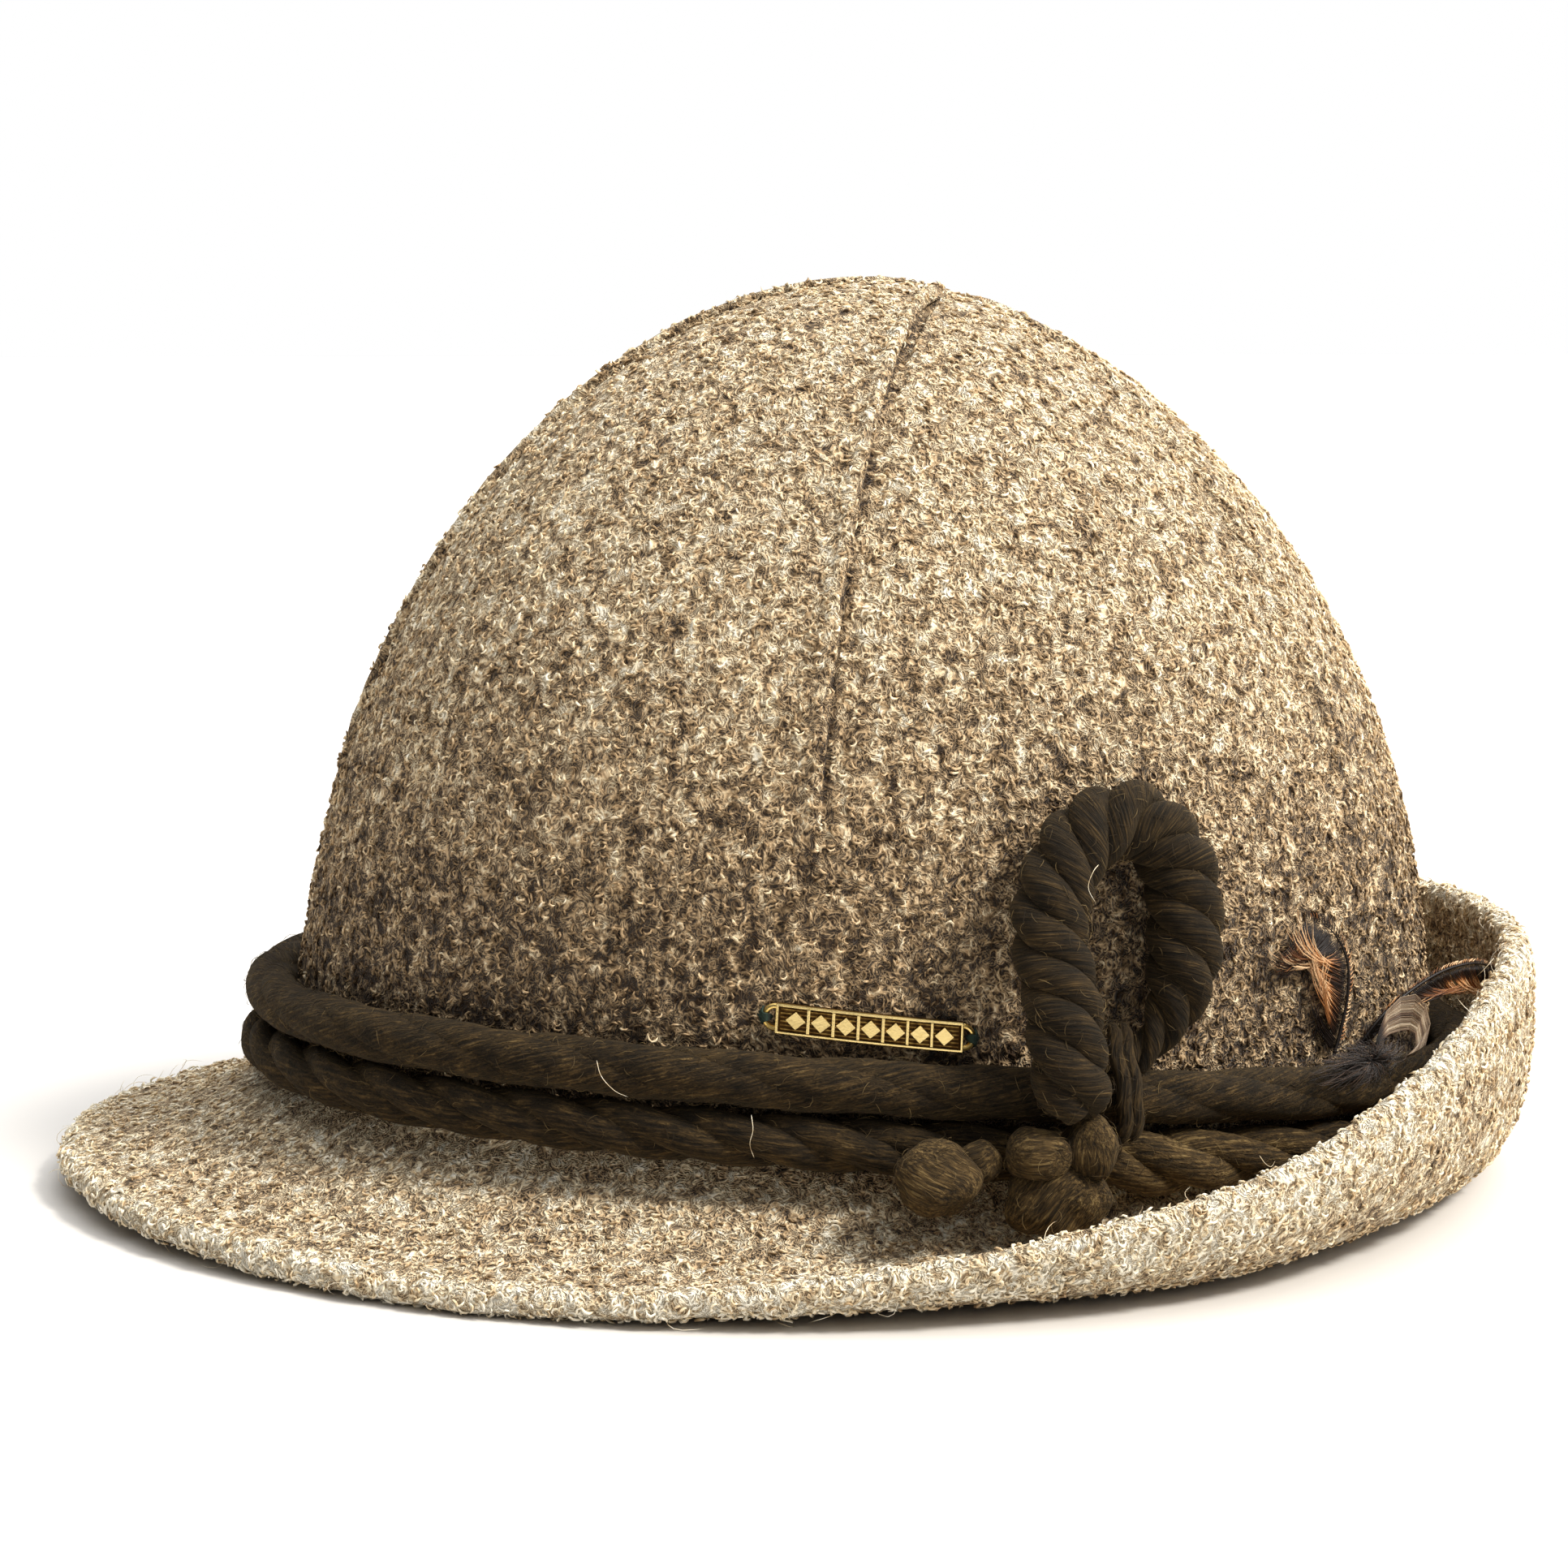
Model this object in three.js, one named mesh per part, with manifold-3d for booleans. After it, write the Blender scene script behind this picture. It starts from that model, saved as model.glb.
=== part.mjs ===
// Tyrolean hat of fulled wool: a domed crown with five darts, a thick brim that turns up
// at the back, two turns of wool cord with a standing loop and knots at the wearer's left,
// a small brass bar and two feathers.
// Millimetres, +Z up. The hat stands on its brim, its front toward -Y and the wearer's left
// toward +X. Directions round the hat are degrees from the front toward the wearer's left.

import * as THREE from "three";
import { LoftGeometry } from "three/addons/geometries/LoftGeometry.js";
import { mergeVertices } from "three/addons/utils/BufferGeometryUtils.js";
import Module from "manifold-3d";

// Crown
const HEAD_LENGTH = 200;      // inside, front to back
const HEAD_WIDTH = 162;       // inside, side to side
const CROWN_WALL = 3;
const CROWN_TOP = 156;        // above the table
const DOME_RISE = 2.2;        // exponents of the dome's section: 2 is an ellipse
const DOME_SPREAD = 1.8;
const CROWN_BELLY = 2.4;      // how far the dome's middle height stands behind its foot

// Line where crown and brim meet, above the table
const SEAT_FRONT = 19.5;
const SEAT_LEFT = 15.8;       // at the wearer's left
const SEAT_BACK = 5.2;
const SEAT_LEAN = 2.5;        // half of how much lower it is at the wearer's right

// Darts sewn in the crown
const DARTS = 5;
const DART_DEPTH = 1.1;
const DART_LIP = 0.8;
const DART_FOOT = 71;         // height where a dart runs out
const DART_FADE = 14;         // height over which it deepens
const DARTS_MEET_BACK = 16;   // how far behind the middle the darts meet

// Brim
const BRIM_REACH = 38.5;      // from the crown's wall to the middle of the front edge
const BRIM_THICK = 5;
const RIM_BACK = 43;          // height of the edge's middle at the back

// Cords
const CORD = 9;
const LOOP_CORD = 12.3;
const LOOP_PITCH = 6.2;       // one bulge of the loop's twist
const LOOP_BULGE = 0.45;
const LOOP_AT = 103.5;        // direction of the loop's middle
const LOOP_WIDTH = 26;        // between the middles of its legs
const LOOP_HEIGHT = 39.5;      // middle of the cord at the top, above the upper cord
const TIE_WIDTH = 4.2;
const TIE_THICK = 2.4;
const SWELL = 0.22;           // how much fatter the lower cord is beside the knot
const SWELL_AT = 109;
const SWELL_SPREAD = 8;

// Knots
const KNOT_AT = 95.5;
const KNOT_LOBE = 11;         // thickness of a lobe
const BALL = 12.4;
const KNOT_SPACE = 1.4;       // between the centre knot and the ball's neck

// Badge
const BADGE_LENGTH = 29.4;    // the bar without its end rings
const BADGE_HEIGHT = 4.8;
const BADGE_THICK = 1.0;
const BADGE_RELIEF = 0.5;
const BADGE_AT = 77.3;
const BADGE_ABOVE_CORD = 3.9; // middle of the bar above the upper cord
const BADGE_FALL = 0.115;     // slope, down toward the back
const BADGE_RING = 4.4;       // outside of an end ring, half of which stands clear
const BADGE_WIRE = 0.9;
const LOZENGES = 7;

// Feathers
const FEATHER_AT = 134;
const FRONT_FEATHER = 22;     // height of the standing feather
const BACK_FEATHER = 54;      // length of the arching feather, measured round the crown
const VANE = 9;               // widest half of a vane
const VANE_THICK = 0.9;
const DOWN_LENGTH = 20;
const DOWN_HEIGHT = 7;
const DOWN_THICK = 4;

// Fit and fineness
const GAP = 0.3;
const ROUND_STATIONS = 60;
const CORD_STATIONS = 64;
const CORD_SIDES = 9;

const HALF_LENGTH = HEAD_LENGTH / 2 + CROWN_WALL;
const HALF_WIDTH = HEAD_WIDTH / 2 + CROWN_WALL;
const BAND_TOP = 2 * CORD + GAP;

// Sections of the brim. at: direction. reach: share of BRIM_REACH. rim: height of the edge's
// middle, share of RIM_BACK. dip: how far the bed beside the crown drops, share of CORD.
// knee and foot: the bend before the edge, as shares of the reach and of RIM_BACK.
const BRIM = [
  { at: 0, reach: 1.0, rim: 0.125, dip: 0.6, knee: 0.62, foot: 0.16 },
  { at: 30, reach: 0.89, rim: 0.085, dip: 0.75, knee: 0.65, foot: 0.09 },
  { at: 50, reach: 0.85, rim: 0.06, dip: 0.95, knee: 0.68, foot: 0.05 },
  { at: 70, reach: 0.81, rim: 0.11, dip: 1.25, knee: 0.77, foot: 0.01 },
  { at: 90, reach: 0.82, rim: 0.25, dip: 1.6, knee: 0.86, foot: -0.02 },
  { at: 110, reach: 0.8, rim: 0.42, dip: 1.35, knee: 0.98, foot: -0.05 },
  { at: 130, reach: 0.65, rim: 0.69, dip: 1.15, knee: 1.07, foot: 0.0 },
  { at: 150, reach: 0.47, rim: 0.95, dip: 1.15, knee: 1.22, foot: 0.04 },
  { at: 165, reach: 0.37, rim: 0.92, dip: 1.1, knee: 1.38, foot: 0.05 },
  { at: 180, reach: 0.37, rim: 0.93, dip: 1.1, knee: 1.42, foot: 0.05 },
];

// Route of the loop's cord. along: share of half LOOP_WIDTH, toward the back.
// up: share of LOOP_HEIGHT above the upper cord. out: share of CORD, from the crown's wall
// to the near side of the cord.
const LOOP_ROUTE = [
  { along: -0.84, up: -0.13, out: 1.07 },
  { along: -0.86, up: -0.03, out: 1.07 },
  { along: -0.92, up: 0.1, out: 1.05 },
  { along: -0.93, up: 0.28, out: 0.8 },
  { along: -1.0, up: 0.58, out: 0.4 },
  { along: -0.68, up: 0.83, out: 0.15 },
  { along: -0.26, up: 0.95, out: 0.05 },
  { along: 0.36, up: 0.99, out: 0.04 },
  { along: 0.82, up: 0.82, out: 0.04 },
  { along: 0.84, up: 0.53, out: 0.05 },
  { along: 0.7, up: 0.3, out: 0.06 },
  { along: 0.4, up: 0.125, out: 0.04 },
];

// Lobes of the centre knot. along: share of KNOT_LOBE from the knot's middle, toward the
// back. up: share of KNOT_LOBE above the lower cord's foot. wide, tall: shares of KNOT_LOBE.
const KNOT_LOBES = [
  { along: 0, up: -0.13, wide: 1.5, tall: 1.0 },
  { along: 0.4, up: 0.7, wide: 0.84, tall: 0.95 },
  { along: -0.34, up: 0.57, wide: 0.9, tall: 0.72 },
];

// Quills of the feathers. along: share of the feather's size round the crown, toward the
// back. up: share of its size above the upper cord. out: share of CORD from the crown's wall.
// low and high: halves of the vane on either side of the quill, shares of VANE.
const FRONT_QUILL = [
  { along: 0.0, up: 0.0, out: 0.02, low: 0.08, high: 0.08 },
  { along: 0.05, up: 0.22, out: 0.03, low: 0.45, high: 0.12 },
  { along: 0.1, up: 0.42, out: 0.05, low: 1.0, high: 0.2 },
  { along: 0.1, up: 0.65, out: 0.08, low: 1.1, high: 0.2 },
  { along: 0.0, up: 0.88, out: 0.1, low: 0.8, high: 0.16 },
  { along: -0.2, up: 1.0, out: 0.12, low: 0.3, high: 0.1 },
];
const BACK_QUILL = [
  { along: 0.0, up: 0.006, out: 0.4, low: 0.08, high: 0.08 },
  { along: 0.12, up: 0.14, out: 0.62, low: 0.3, high: 0.1 },
  { along: 0.32, up: 0.23, out: 0.85, low: 0.8, high: 0.15 },
  { along: 0.55, up: 0.23, out: 0.95, low: 0.95, high: 0.2 },
  { along: 0.78, up: 0.17, out: 0.95, low: 0.6, high: 0.2 },
  { along: 1.0, up: 0.06, out: 0.9, low: 0.25, high: 0.1 },
];

const UP = new THREE.Vector3(0, 0, 1);
const { degToRad, radToDeg, smoothstep, lerp } = THREE.MathUtils;

const wasm = await Module();
wasm.setup();

// One closed skin: seam and pole vertices are joined, flat triangles dropped, faces out.
function closed(geometry) {
  const bare = new THREE.BufferGeometry();
  bare.setAttribute("position", geometry.getAttribute("position"));
  bare.setIndex(geometry.getIndex());
  const merged = mergeVertices(bare, 1e-3);
  const ids = merged.getIndex().array;
  const place = merged.getAttribute("position");
  const kept = [];
  let volume = 0;
  const [a, b, c] = [0, 1, 2].map(() => new THREE.Vector3());
  for (let i = 0; i < ids.length; i += 3) {
    const [p, q, r] = ids.slice(i, i + 3);
    if (p === q || q === r || r === p) continue;
    kept.push(p, q, r);
    a.fromBufferAttribute(place, p);
    b.fromBufferAttribute(place, q);
    c.fromBufferAttribute(place, r);
    volume += a.dot(b.cross(c));
  }
  if (volume < 0) kept.reverse();
  merged.setIndex(kept);
  return merged;
}

function toManifold(geometry) {
  const skin = closed(geometry);
  return new wasm.Manifold(new wasm.Mesh({
    numProp: 3,
    vertProperties: new Float32Array(skin.getAttribute("position").array),
    triVerts: new Uint32Array(skin.getIndex().array),
  }));
}

function fuse(geometries) {
  const mesh = geometries.map(toManifold).reduce((sum, next) => sum.add(next)).getMesh();
  const geometry = new THREE.BufferGeometry();
  geometry.setAttribute("position", new THREE.BufferAttribute(mesh.vertProperties, 3));
  geometry.setIndex(new THREE.BufferAttribute(mesh.triVerts, 1));
  return geometry;
}

// A skin over a row of sections that is closed at both ends. Its caps face outward when each
// section winds to the left about the way ahead.
function capped(sections) {
  const [first, second] = sections;
  const area = new THREE.Vector3();
  const turned = new THREE.Vector3();
  first.forEach((point, i) => area.add(turned.crossVectors(point, first[(i + 1) % first.length])));
  const ahead = new THREE.Vector3();
  first.forEach((point, i) => ahead.add(second[i]).sub(point));
  const wound = area.dot(ahead) > 0 ? sections : sections.map((section) => [...section].reverse());
  return new LoftGeometry(wound, { capStart: true, capEnd: true });
}

// A table read at any place along its first column, smoothly, with level ends.
function smoothTable(rows, key) {
  const columns = Object.keys(rows[0]).filter((name) => name !== key);
  const curve = new THREE.CubicInterpolant(
    rows.map((row) => row[key]), rows.flatMap((row) => columns.map((name) => row[name])), columns.length);
  curve.settings = { endingStart: THREE.ZeroSlopeEnding, endingEnd: THREE.ZeroSlopeEnding };
  return (at) => {
    const values = curve.evaluate(at);
    return Object.fromEntries(columns.map((name, i) => [name, values[i]]));
  };
}

const heading = (degrees) =>
  new THREE.Vector3(Math.sin(degToRad(degrees)), -Math.cos(degToRad(degrees)), 0);

const ovalRadius = (degrees, halfLength, halfWidth) =>
  1 / Math.hypot(Math.sin(degToRad(degrees)) / halfWidth, Math.cos(degToRad(degrees)) / halfLength);

function seat(degrees) {
  const [sine, cosine] = [Math.sin(degToRad(degrees)), Math.cos(degToRad(degrees))];
  const middle = (SEAT_FRONT + SEAT_BACK) / 2;
  const side = SEAT_LEFT - SEAT_LEAN - middle;
  return middle + (SEAT_FRONT - SEAT_BACK) / 2 * cosine + side * sine ** 2 + SEAT_LEAN * sine;
}

// Width of the dome at a height, and height at a width, both as shares.
const domeWidth = (rise) => (1 - rise ** DOME_RISE) ** (1 / DOME_SPREAD);
const domeRise = (width) => Math.max(0, 1 - width ** DOME_SPREAD) ** (1 / DOME_RISE);

// How far back the dome's rings stand at a share of its height.
const bellyBack = (rise) => CROWN_BELLY * 4 * rise * (1 - rise);

// Outside of the crown's wall at a direction and height, and the way it faces in plan.
function wallPoint(degrees, z) {
  const rise = THREE.MathUtils.clamp((z - seat(degrees)) / (CROWN_TOP - seat(degrees)), 0, 1);
  const radius = ovalRadius(degrees, HALF_LENGTH, HALF_WIDTH) * domeWidth(rise);
  const point = heading(degrees).multiplyScalar(radius).setZ(z);
  point.y += bellyBack(rise);
  return point;
}

function wallNormal(degrees) {
  const way = heading(degrees);
  return new THREE.Vector3(way.x / HALF_WIDTH ** 2, way.y / HALF_LENGTH ** 2, 0).normalize();
}

const beside = (degrees, z, out) => wallPoint(degrees, z).addScaledVector(wallNormal(degrees), out);

// The direction reached by going a length round the crown, some way out from its wall.
const degreesAlong = (degrees, length, out = 0) =>
  degrees + radToDeg(length / (ovalRadius(degrees, HALF_LENGTH, HALF_WIDTH) + out));

// Crown: rings from the foot to the point where the darts meet, outside and then inside.
function crown() {
  const gore = 360 / DARTS;
  const steps = [0, 0.02, 0.055, 0.17, 0.33, 0.5, 0.67, 0.83, 0.945, 0.977];
  const lipAt = steps.at(-1);
  const stations = [...Array(DARTS).keys()].flatMap((dart) =>
    steps.map((step) => [(dart + step) * gore, step]));
  const outsideRows = 17;
  const insideRows = 9;

  function ring(share, wall, dressed) {
    const turn = share * Math.PI / 2;
    const width = Math.cos(turn) ** (2 / DOME_SPREAD);
    const [length, across] = [HALF_LENGTH - wall, HALF_WIDTH - wall];
    return stations.map(([degrees, step]) => {
      const foot = heading(degrees).multiplyScalar(ovalRadius(degrees, length, across));
      const plan = foot.multiplyScalar(width);
      plan.y += DARTS_MEET_BACK * (1 - width);
      const reach = Math.hypot(plan.x / across, plan.y / length);
      const side = radToDeg(Math.atan2(plan.x, -plan.y));
      const base = seat(side);
      const rise = share === 0 ? 0 : domeRise(Math.min(reach, 1));
      const z = share === 0 ? seat(degrees) : lerp(base, CROWN_TOP - wall, rise);
      const point = new THREE.Vector3(plan.x, plan.y + bellyBack(rise), z);
      if (!dressed || share === 0) return point;
      const depth = smoothstep(z, DART_FOOT, DART_FOOT + DART_FADE) * smoothstep(width, 0, 0.12);
      const relief = step === 0 ? -DART_DEPTH : step === lipAt ? DART_LIP : 0;
      const out = new THREE.Vector3(plan.x / across ** 2, plan.y / length ** 2,
        (z - base) / (CROWN_TOP - base) ** 2).normalize();
      return point.addScaledVector(out, relief * depth);
    });
  }

  const outside = [...Array(outsideRows + 1).keys()].map((row) => ring(row / outsideRows, 0, true));
  const inside = [...Array(insideRows + 1).keys()].map((row) => ring(row / insideRows, CROWN_WALL, false));
  return new LoftGeometry([...outside, ...inside.reverse(), outside[0]]);
}

// Brim: one closed section, swung round the crown.
function brim() {
  const shapeAt = smoothTable(BRIM, "at");
  const half = BRIM_THICK / 2;
  const steps = 8;
  const roundSteps = 4;

  function section(degrees) {
    const shape = shapeAt(Math.abs(THREE.MathUtils.euclideanModulo(degrees + 180, 360) - 180));
    const reach = BRIM_REACH * shape.reach;
    const foot = seat(degrees) - GAP;
    const line = new THREE.CubicBezierCurve(
      new THREE.Vector2(-CROWN_WALL / 2, foot),
      new THREE.Vector2(CORD * 0.45, foot - CORD * shape.dip),
      new THREE.Vector2(reach * shape.knee, RIM_BACK * shape.foot),
      new THREE.Vector2(reach, RIM_BACK * shape.rim));
    const top = [new THREE.Vector2(0, foot)];
    const under = [new THREE.Vector2(-CROWN_WALL, foot)];
    for (let step = 1; step <= steps; step++) {
      const t = step / steps;
      const thick = lerp(CROWN_WALL / 2, half, smoothstep(t, 0, 0.5));
      const middle = line.getPoint(t);
      const along = line.getTangent(t);
      const across = new THREE.Vector2(-along.y, along.x);
      top.push(middle.clone().addScaledVector(across, thick));
      under.push(middle.clone().addScaledVector(across, -thick));
    }
    const end = line.getPoint(1);
    const ahead = line.getTangent(1);
    const across = new THREE.Vector2(-ahead.y, ahead.x);
    const edge = [...Array(roundSteps - 1).keys()].map((step) => {
      const turn = Math.PI * (step + 1) / roundSteps;
      return end.clone().addScaledVector(ahead, half * Math.sin(turn))
        .addScaledVector(across, half * Math.cos(turn));
    });
    const radius = ovalRadius(degrees, HALF_LENGTH, HALF_WIDTH);
    return [...top, ...edge, ...under.reverse()].map((point) =>
      heading(degrees).multiplyScalar(radius + point.x).setZ(Math.max(point.y, 0)));
  }

  const turns = [...Array(ROUND_STATIONS + 1).keys()];
  return new LoftGeometry(turns.map((turn) => section(turn % ROUND_STATIONS * 360 / ROUND_STATIONS)));
}

// One turn of cord laid on the crown. The crease between the turns keeps its height.
function bandCord(isUpper) {
  const turns = [...Array(CORD_STATIONS + 1).keys()];
  return new LoftGeometry(turns.map((turn) => {
    const degrees = turn % CORD_STATIONS * 360 / CORD_STATIONS;
    const swell = isUpper ? 0 : SWELL * Math.exp(-(((degrees - SWELL_AT) / SWELL_SPREAD) ** 2));
    const radius = CORD / 2 * (1 + swell);
    const crease = seat(degrees) + CORD;
    const z = isUpper ? crease + GAP + radius : crease - radius;
    const middle = beside(degrees, z, GAP + radius);
    return [...Array(CORD_SIDES).keys()].map((side) => {
      const angle = side / CORD_SIDES * Math.PI * 2;
      return middle.clone().addScaledVector(wallNormal(degrees), radius * Math.cos(angle))
        .addScaledVector(UP, radius * Math.sin(angle));
    });
  }));
}

// A round or flat strand along a curve, closed at both ends.
function strand(points, stations, sides, sizeAt) {
  const curve = new THREE.CatmullRomCurve3(points, false, "centripetal");
  const frames = curve.computeFrenetFrames(stations, false);
  return capped([...Array(stations + 1).keys()].map((station) => {
    const share = station / stations;
    const middle = curve.getPointAt(share);
    const [wide, thick] = sizeAt(share, curve.getLength());
    return [...Array(sides).keys()].map((side) => {
      const angle = side / sides * Math.PI * 2;
      return middle.clone().addScaledVector(frames.normals[station], wide * Math.cos(angle))
        .addScaledVector(frames.binormals[station], thick * Math.sin(angle));
    });
  }));
}

function loopPoint({ along, up, out }) {
  const degrees = degreesAlong(LOOP_AT, along * LOOP_WIDTH / 2);
  const z = seat(degrees) + BAND_TOP + up * LOOP_HEIGHT;
  return beside(degrees, z, GAP + LOOP_CORD / 2 + out * CORD);
}

function loopCord() {
  const [tip, rounding] = [0.45, 0.045];
  const taper = (share) =>
    lerp(tip, 1, Math.min(smoothstep(share, 0, rounding), smoothstep(1 - share, 0, rounding * 2)));
  return strand(LOOP_ROUTE.map(loopPoint), 72, 9, (share, length) => {
    const bulge = LOOP_BULGE * Math.cos(share * length / LOOP_PITCH * Math.PI * 2);
    const radius = (LOOP_CORD / 2 - LOOP_BULGE + bulge) * taper(share);
    return [radius, radius];
  });
}

// The flat strand that runs down over the cords just behind the loop's front leg.
function loopTie() {
  const start = degreesAlong(LOOP_AT, -LOOP_WIDTH * 0.02);
  const heights = [[0.19, 0.42], [0.1, 0.62], [-0.02, 1.02], [-0.16, 1.1], [-0.27, 1.06]];
  const points = heights.map(([up, out]) => {
    const z = seat(start) + BAND_TOP + up * LOOP_HEIGHT;
    return beside(start, z, GAP + TIE_THICK / 2 + out * CORD);
  });
  const along = new THREE.Vector3(-wallNormal(start).y, wallNormal(start).x, 0);
  const curve = new THREE.CatmullRomCurve3(points, false, "centripetal");
  return capped([...Array(11).keys()].map((station) => {
    const share = station / 10;
    const out = new THREE.Vector3().crossVectors(curve.getTangentAt(share), along).normalize();
    return [...Array(8).keys()].map((side) => {
      const angle = side / 8 * Math.PI * 2;
      return curve.getPointAt(share).addScaledVector(along, TIE_WIDTH / 2 * Math.cos(angle))
        .addScaledVector(out, TIE_THICK / 2 * Math.sin(angle));
    });
  }));
}

// A squashed ball that lies against the lower cord. Sizes are its halves.
function lobe(degrees, z, wide, tall, deep, out) {
  const way = wallNormal(degrees);
  const ball = new THREE.SphereGeometry(1, 12, 8);
  const along = new THREE.Vector3(-way.y, way.x, 0);
  const frame = new THREE.Matrix4().makeBasis(
    along.multiplyScalar(wide), way.clone().multiplyScalar(deep), UP.clone().multiplyScalar(tall));
  return ball.applyMatrix4(frame.setPosition(beside(degrees, z, out + deep)));
}

const besideCord = 2 * GAP + CORD;
const knotPlace = (length) => degreesAlong(KNOT_AT, length, besideCord + KNOT_LOBE / 2);

function knotCentre() {
  return fuse(KNOT_LOBES.map(({ along, up, wide, tall }) => {
    const degrees = knotPlace(along * KNOT_LOBE);
    const z = seat(degrees) + up * KNOT_LOBE;
    return lobe(degrees, z, wide * KNOT_LOBE / 2, tall * KNOT_LOBE / 2, KNOT_LOBE / 2, besideCord);
  }));
}

// The ball's neck ends just short of the centre knot.
function knotLeft() {
  const knotReach = KNOT_LOBE * Math.max(...KNOT_LOBES.map(({ along, wide }) => wide / 2 - along));
  const neckReach = BALL * 0.27;
  const neck = knotPlace(-knotReach - KNOT_SPACE - neckReach);
  const ball = knotPlace(-knotReach - KNOT_SPACE - neckReach - BALL * 0.58);
  return fuse([
    lobe(ball, seat(ball) + BALL * 0.18, BALL * 0.54, BALL / 2, BALL / 2, besideCord),
    lobe(neck, seat(neck) + BALL * 0.42, neckReach, BALL * 0.25, BALL * 0.3, besideCord),
  ]);
}

// Badge: a bar bent to the crown, with raised edges, lozenges and a ring at each end.
function badge() {
  const half = BADGE_HEIGHT / 2;
  const rim = BADGE_HEIGHT * 0.12;
  const face = BADGE_THICK + BADGE_RELIEF;
  const stations = 10;
  const bar = capped([...Array(stations + 1).keys()].map((station) => {
    const share = station / stations * 2 - 1;
    const profile = [[-half, 0], [half, 0], [half, face], [half - rim, face],
      [half - rim, BADGE_THICK], [rim - half, BADGE_THICK], [rim - half, face], [-half, face]];
    return profile.map(([up, out]) => new THREE.Vector3(share * BADGE_LENGTH / 2, out, up));
  }));

  const rings = [-1, 1].map((side) => {
    const ring = new THREE.TorusGeometry((BADGE_RING - BADGE_WIRE) / 2, BADGE_WIRE / 2, 6, 12);
    ring.rotateX(Math.PI / 2);
    return ring.translate(side * BADGE_LENGTH / 2, BADGE_WIRE / 2, 0);
  });

  const pitch = BADGE_LENGTH * 0.92 / LOZENGES;
  const lozenges = [...Array(LOZENGES).keys()].map((index) => {
    const cone = new THREE.CylinderGeometry(pitch * 0.2, pitch * 0.42, BADGE_THICK + BADGE_RELIEF / 2, 4);
    cone.translate(0, BADGE_THICK / 2 + BADGE_RELIEF / 2, 0);
    return cone.scale(1, 1, 0.9).translate((index - (LOZENGES - 1) / 2) * pitch, 0, 0);
  });

  const geometry = fuse([bar, ...rings, ...lozenges]);
  const place = geometry.getAttribute("position");
  const point = new THREE.Vector3();
  for (let i = 0; i < place.count; i++) {
    point.fromBufferAttribute(place, i);
    const degrees = degreesAlong(BADGE_AT, point.x);
    const z = seat(BADGE_AT) + BAND_TOP + BADGE_ABOVE_CORD + point.z - BADGE_FALL * point.x;
    const bent = beside(degrees, z, GAP + point.y);
    place.setXYZ(i, bent.x, bent.y, bent.z);
  }
  return geometry;
}

// Feather: a quill with a thin vane in locks, lofted as one skin from a table.
function feather(rows, size, barbs) {
  const shares = rows.map((row, index) => ({ ...row, share: index / (rows.length - 1) }));
  const rowAt = smoothTable(shares, "share");
  const stations = 20;

  function quillPoint(share) {
    const { along, up, out } = rowAt(share);
    const degrees = degreesAlong(FEATHER_AT, along * size);
    return beside(degrees, seat(degrees) + BAND_TOP + up * size, GAP + VANE_THICK / 2 + out * CORD);
  }

  return capped([...Array(stations + 1).keys()].map((station) => {
    const share = station / stations;
    const { low, high } = rowAt(share);
    const middle = quillPoint(share);
    const [before, after] = [Math.max(0, share - 0.01), Math.min(1, share + 0.01)];
    const ahead = quillPoint(after).sub(quillPoint(before)).normalize();
    const degrees = radToDeg(Math.atan2(middle.x, -middle.y));
    const face = wallNormal(degrees);
    const sideways = new THREE.Vector3().crossVectors(ahead, face).normalize();
    const lock = 1 - 0.28 * (station % 2);
    const sweep = VANE * 0.3;
    const thick = VANE_THICK / 2;
    const profile = [[-low * lock, 0, sweep * low], [-low * 0.5, thick * 0.7, 0], [0, thick, 0],
      [high * 0.6, thick * 0.7, 0], [high * lock, 0, 0],
      [high * 0.6, -thick * 0.7, 0], [0, -thick, 0], [-low * 0.5, -thick * 0.7, 0]];
    return profile.map(([across, out, forward]) => middle.clone()
      .addScaledVector(sideways, across * VANE * barbs)
      .addScaledVector(face, out)
      .addScaledVector(ahead, forward));
  }));
}

// The down lies on the upper cord's shoulder, outside the quills.
function featherDown() {
  const way = wallNormal(FEATHER_AT);
  const along = new THREE.Vector3(-way.y, way.x, 0);
  const ball = new THREE.SphereGeometry(1, 14, 8);
  const place = ball.getAttribute("position");
  for (let i = 0; i < place.count; i++) {
    const turn = Math.atan2(place.getZ(i), place.getX(i));
    const lock = 1 + 0.1 * Math.cos(turn * 7);
    place.setX(i, place.getX(i) * lock);
  }
  const z = seat(FEATHER_AT) + BAND_TOP + GAP * 2;
  const frame = new THREE.Matrix4().makeBasis(along.multiplyScalar(DOWN_LENGTH / 2),
    way.clone().multiplyScalar(DOWN_THICK / 2), UP.clone().multiplyScalar(DOWN_HEIGHT / 2));
  return ball.applyMatrix4(frame.setPosition(beside(FEATHER_AT, z, CORD + DOWN_THICK * 0.3)));
}

const FINISHES = {
  felt: { color: 0xa0917c, roughness: 1.0, metalness: 0 },
  cord: { color: 0x3a3022, roughness: 1.0, metalness: 0 },
  brass: { color: 0xc7a355, roughness: 0.35, metalness: 1 },
  vane: { color: 0x8c5a34, roughness: 0.7, metalness: 0 },
  down: { color: 0x3b2a1e, roughness: 0.9, metalness: 0 },
};

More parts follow.
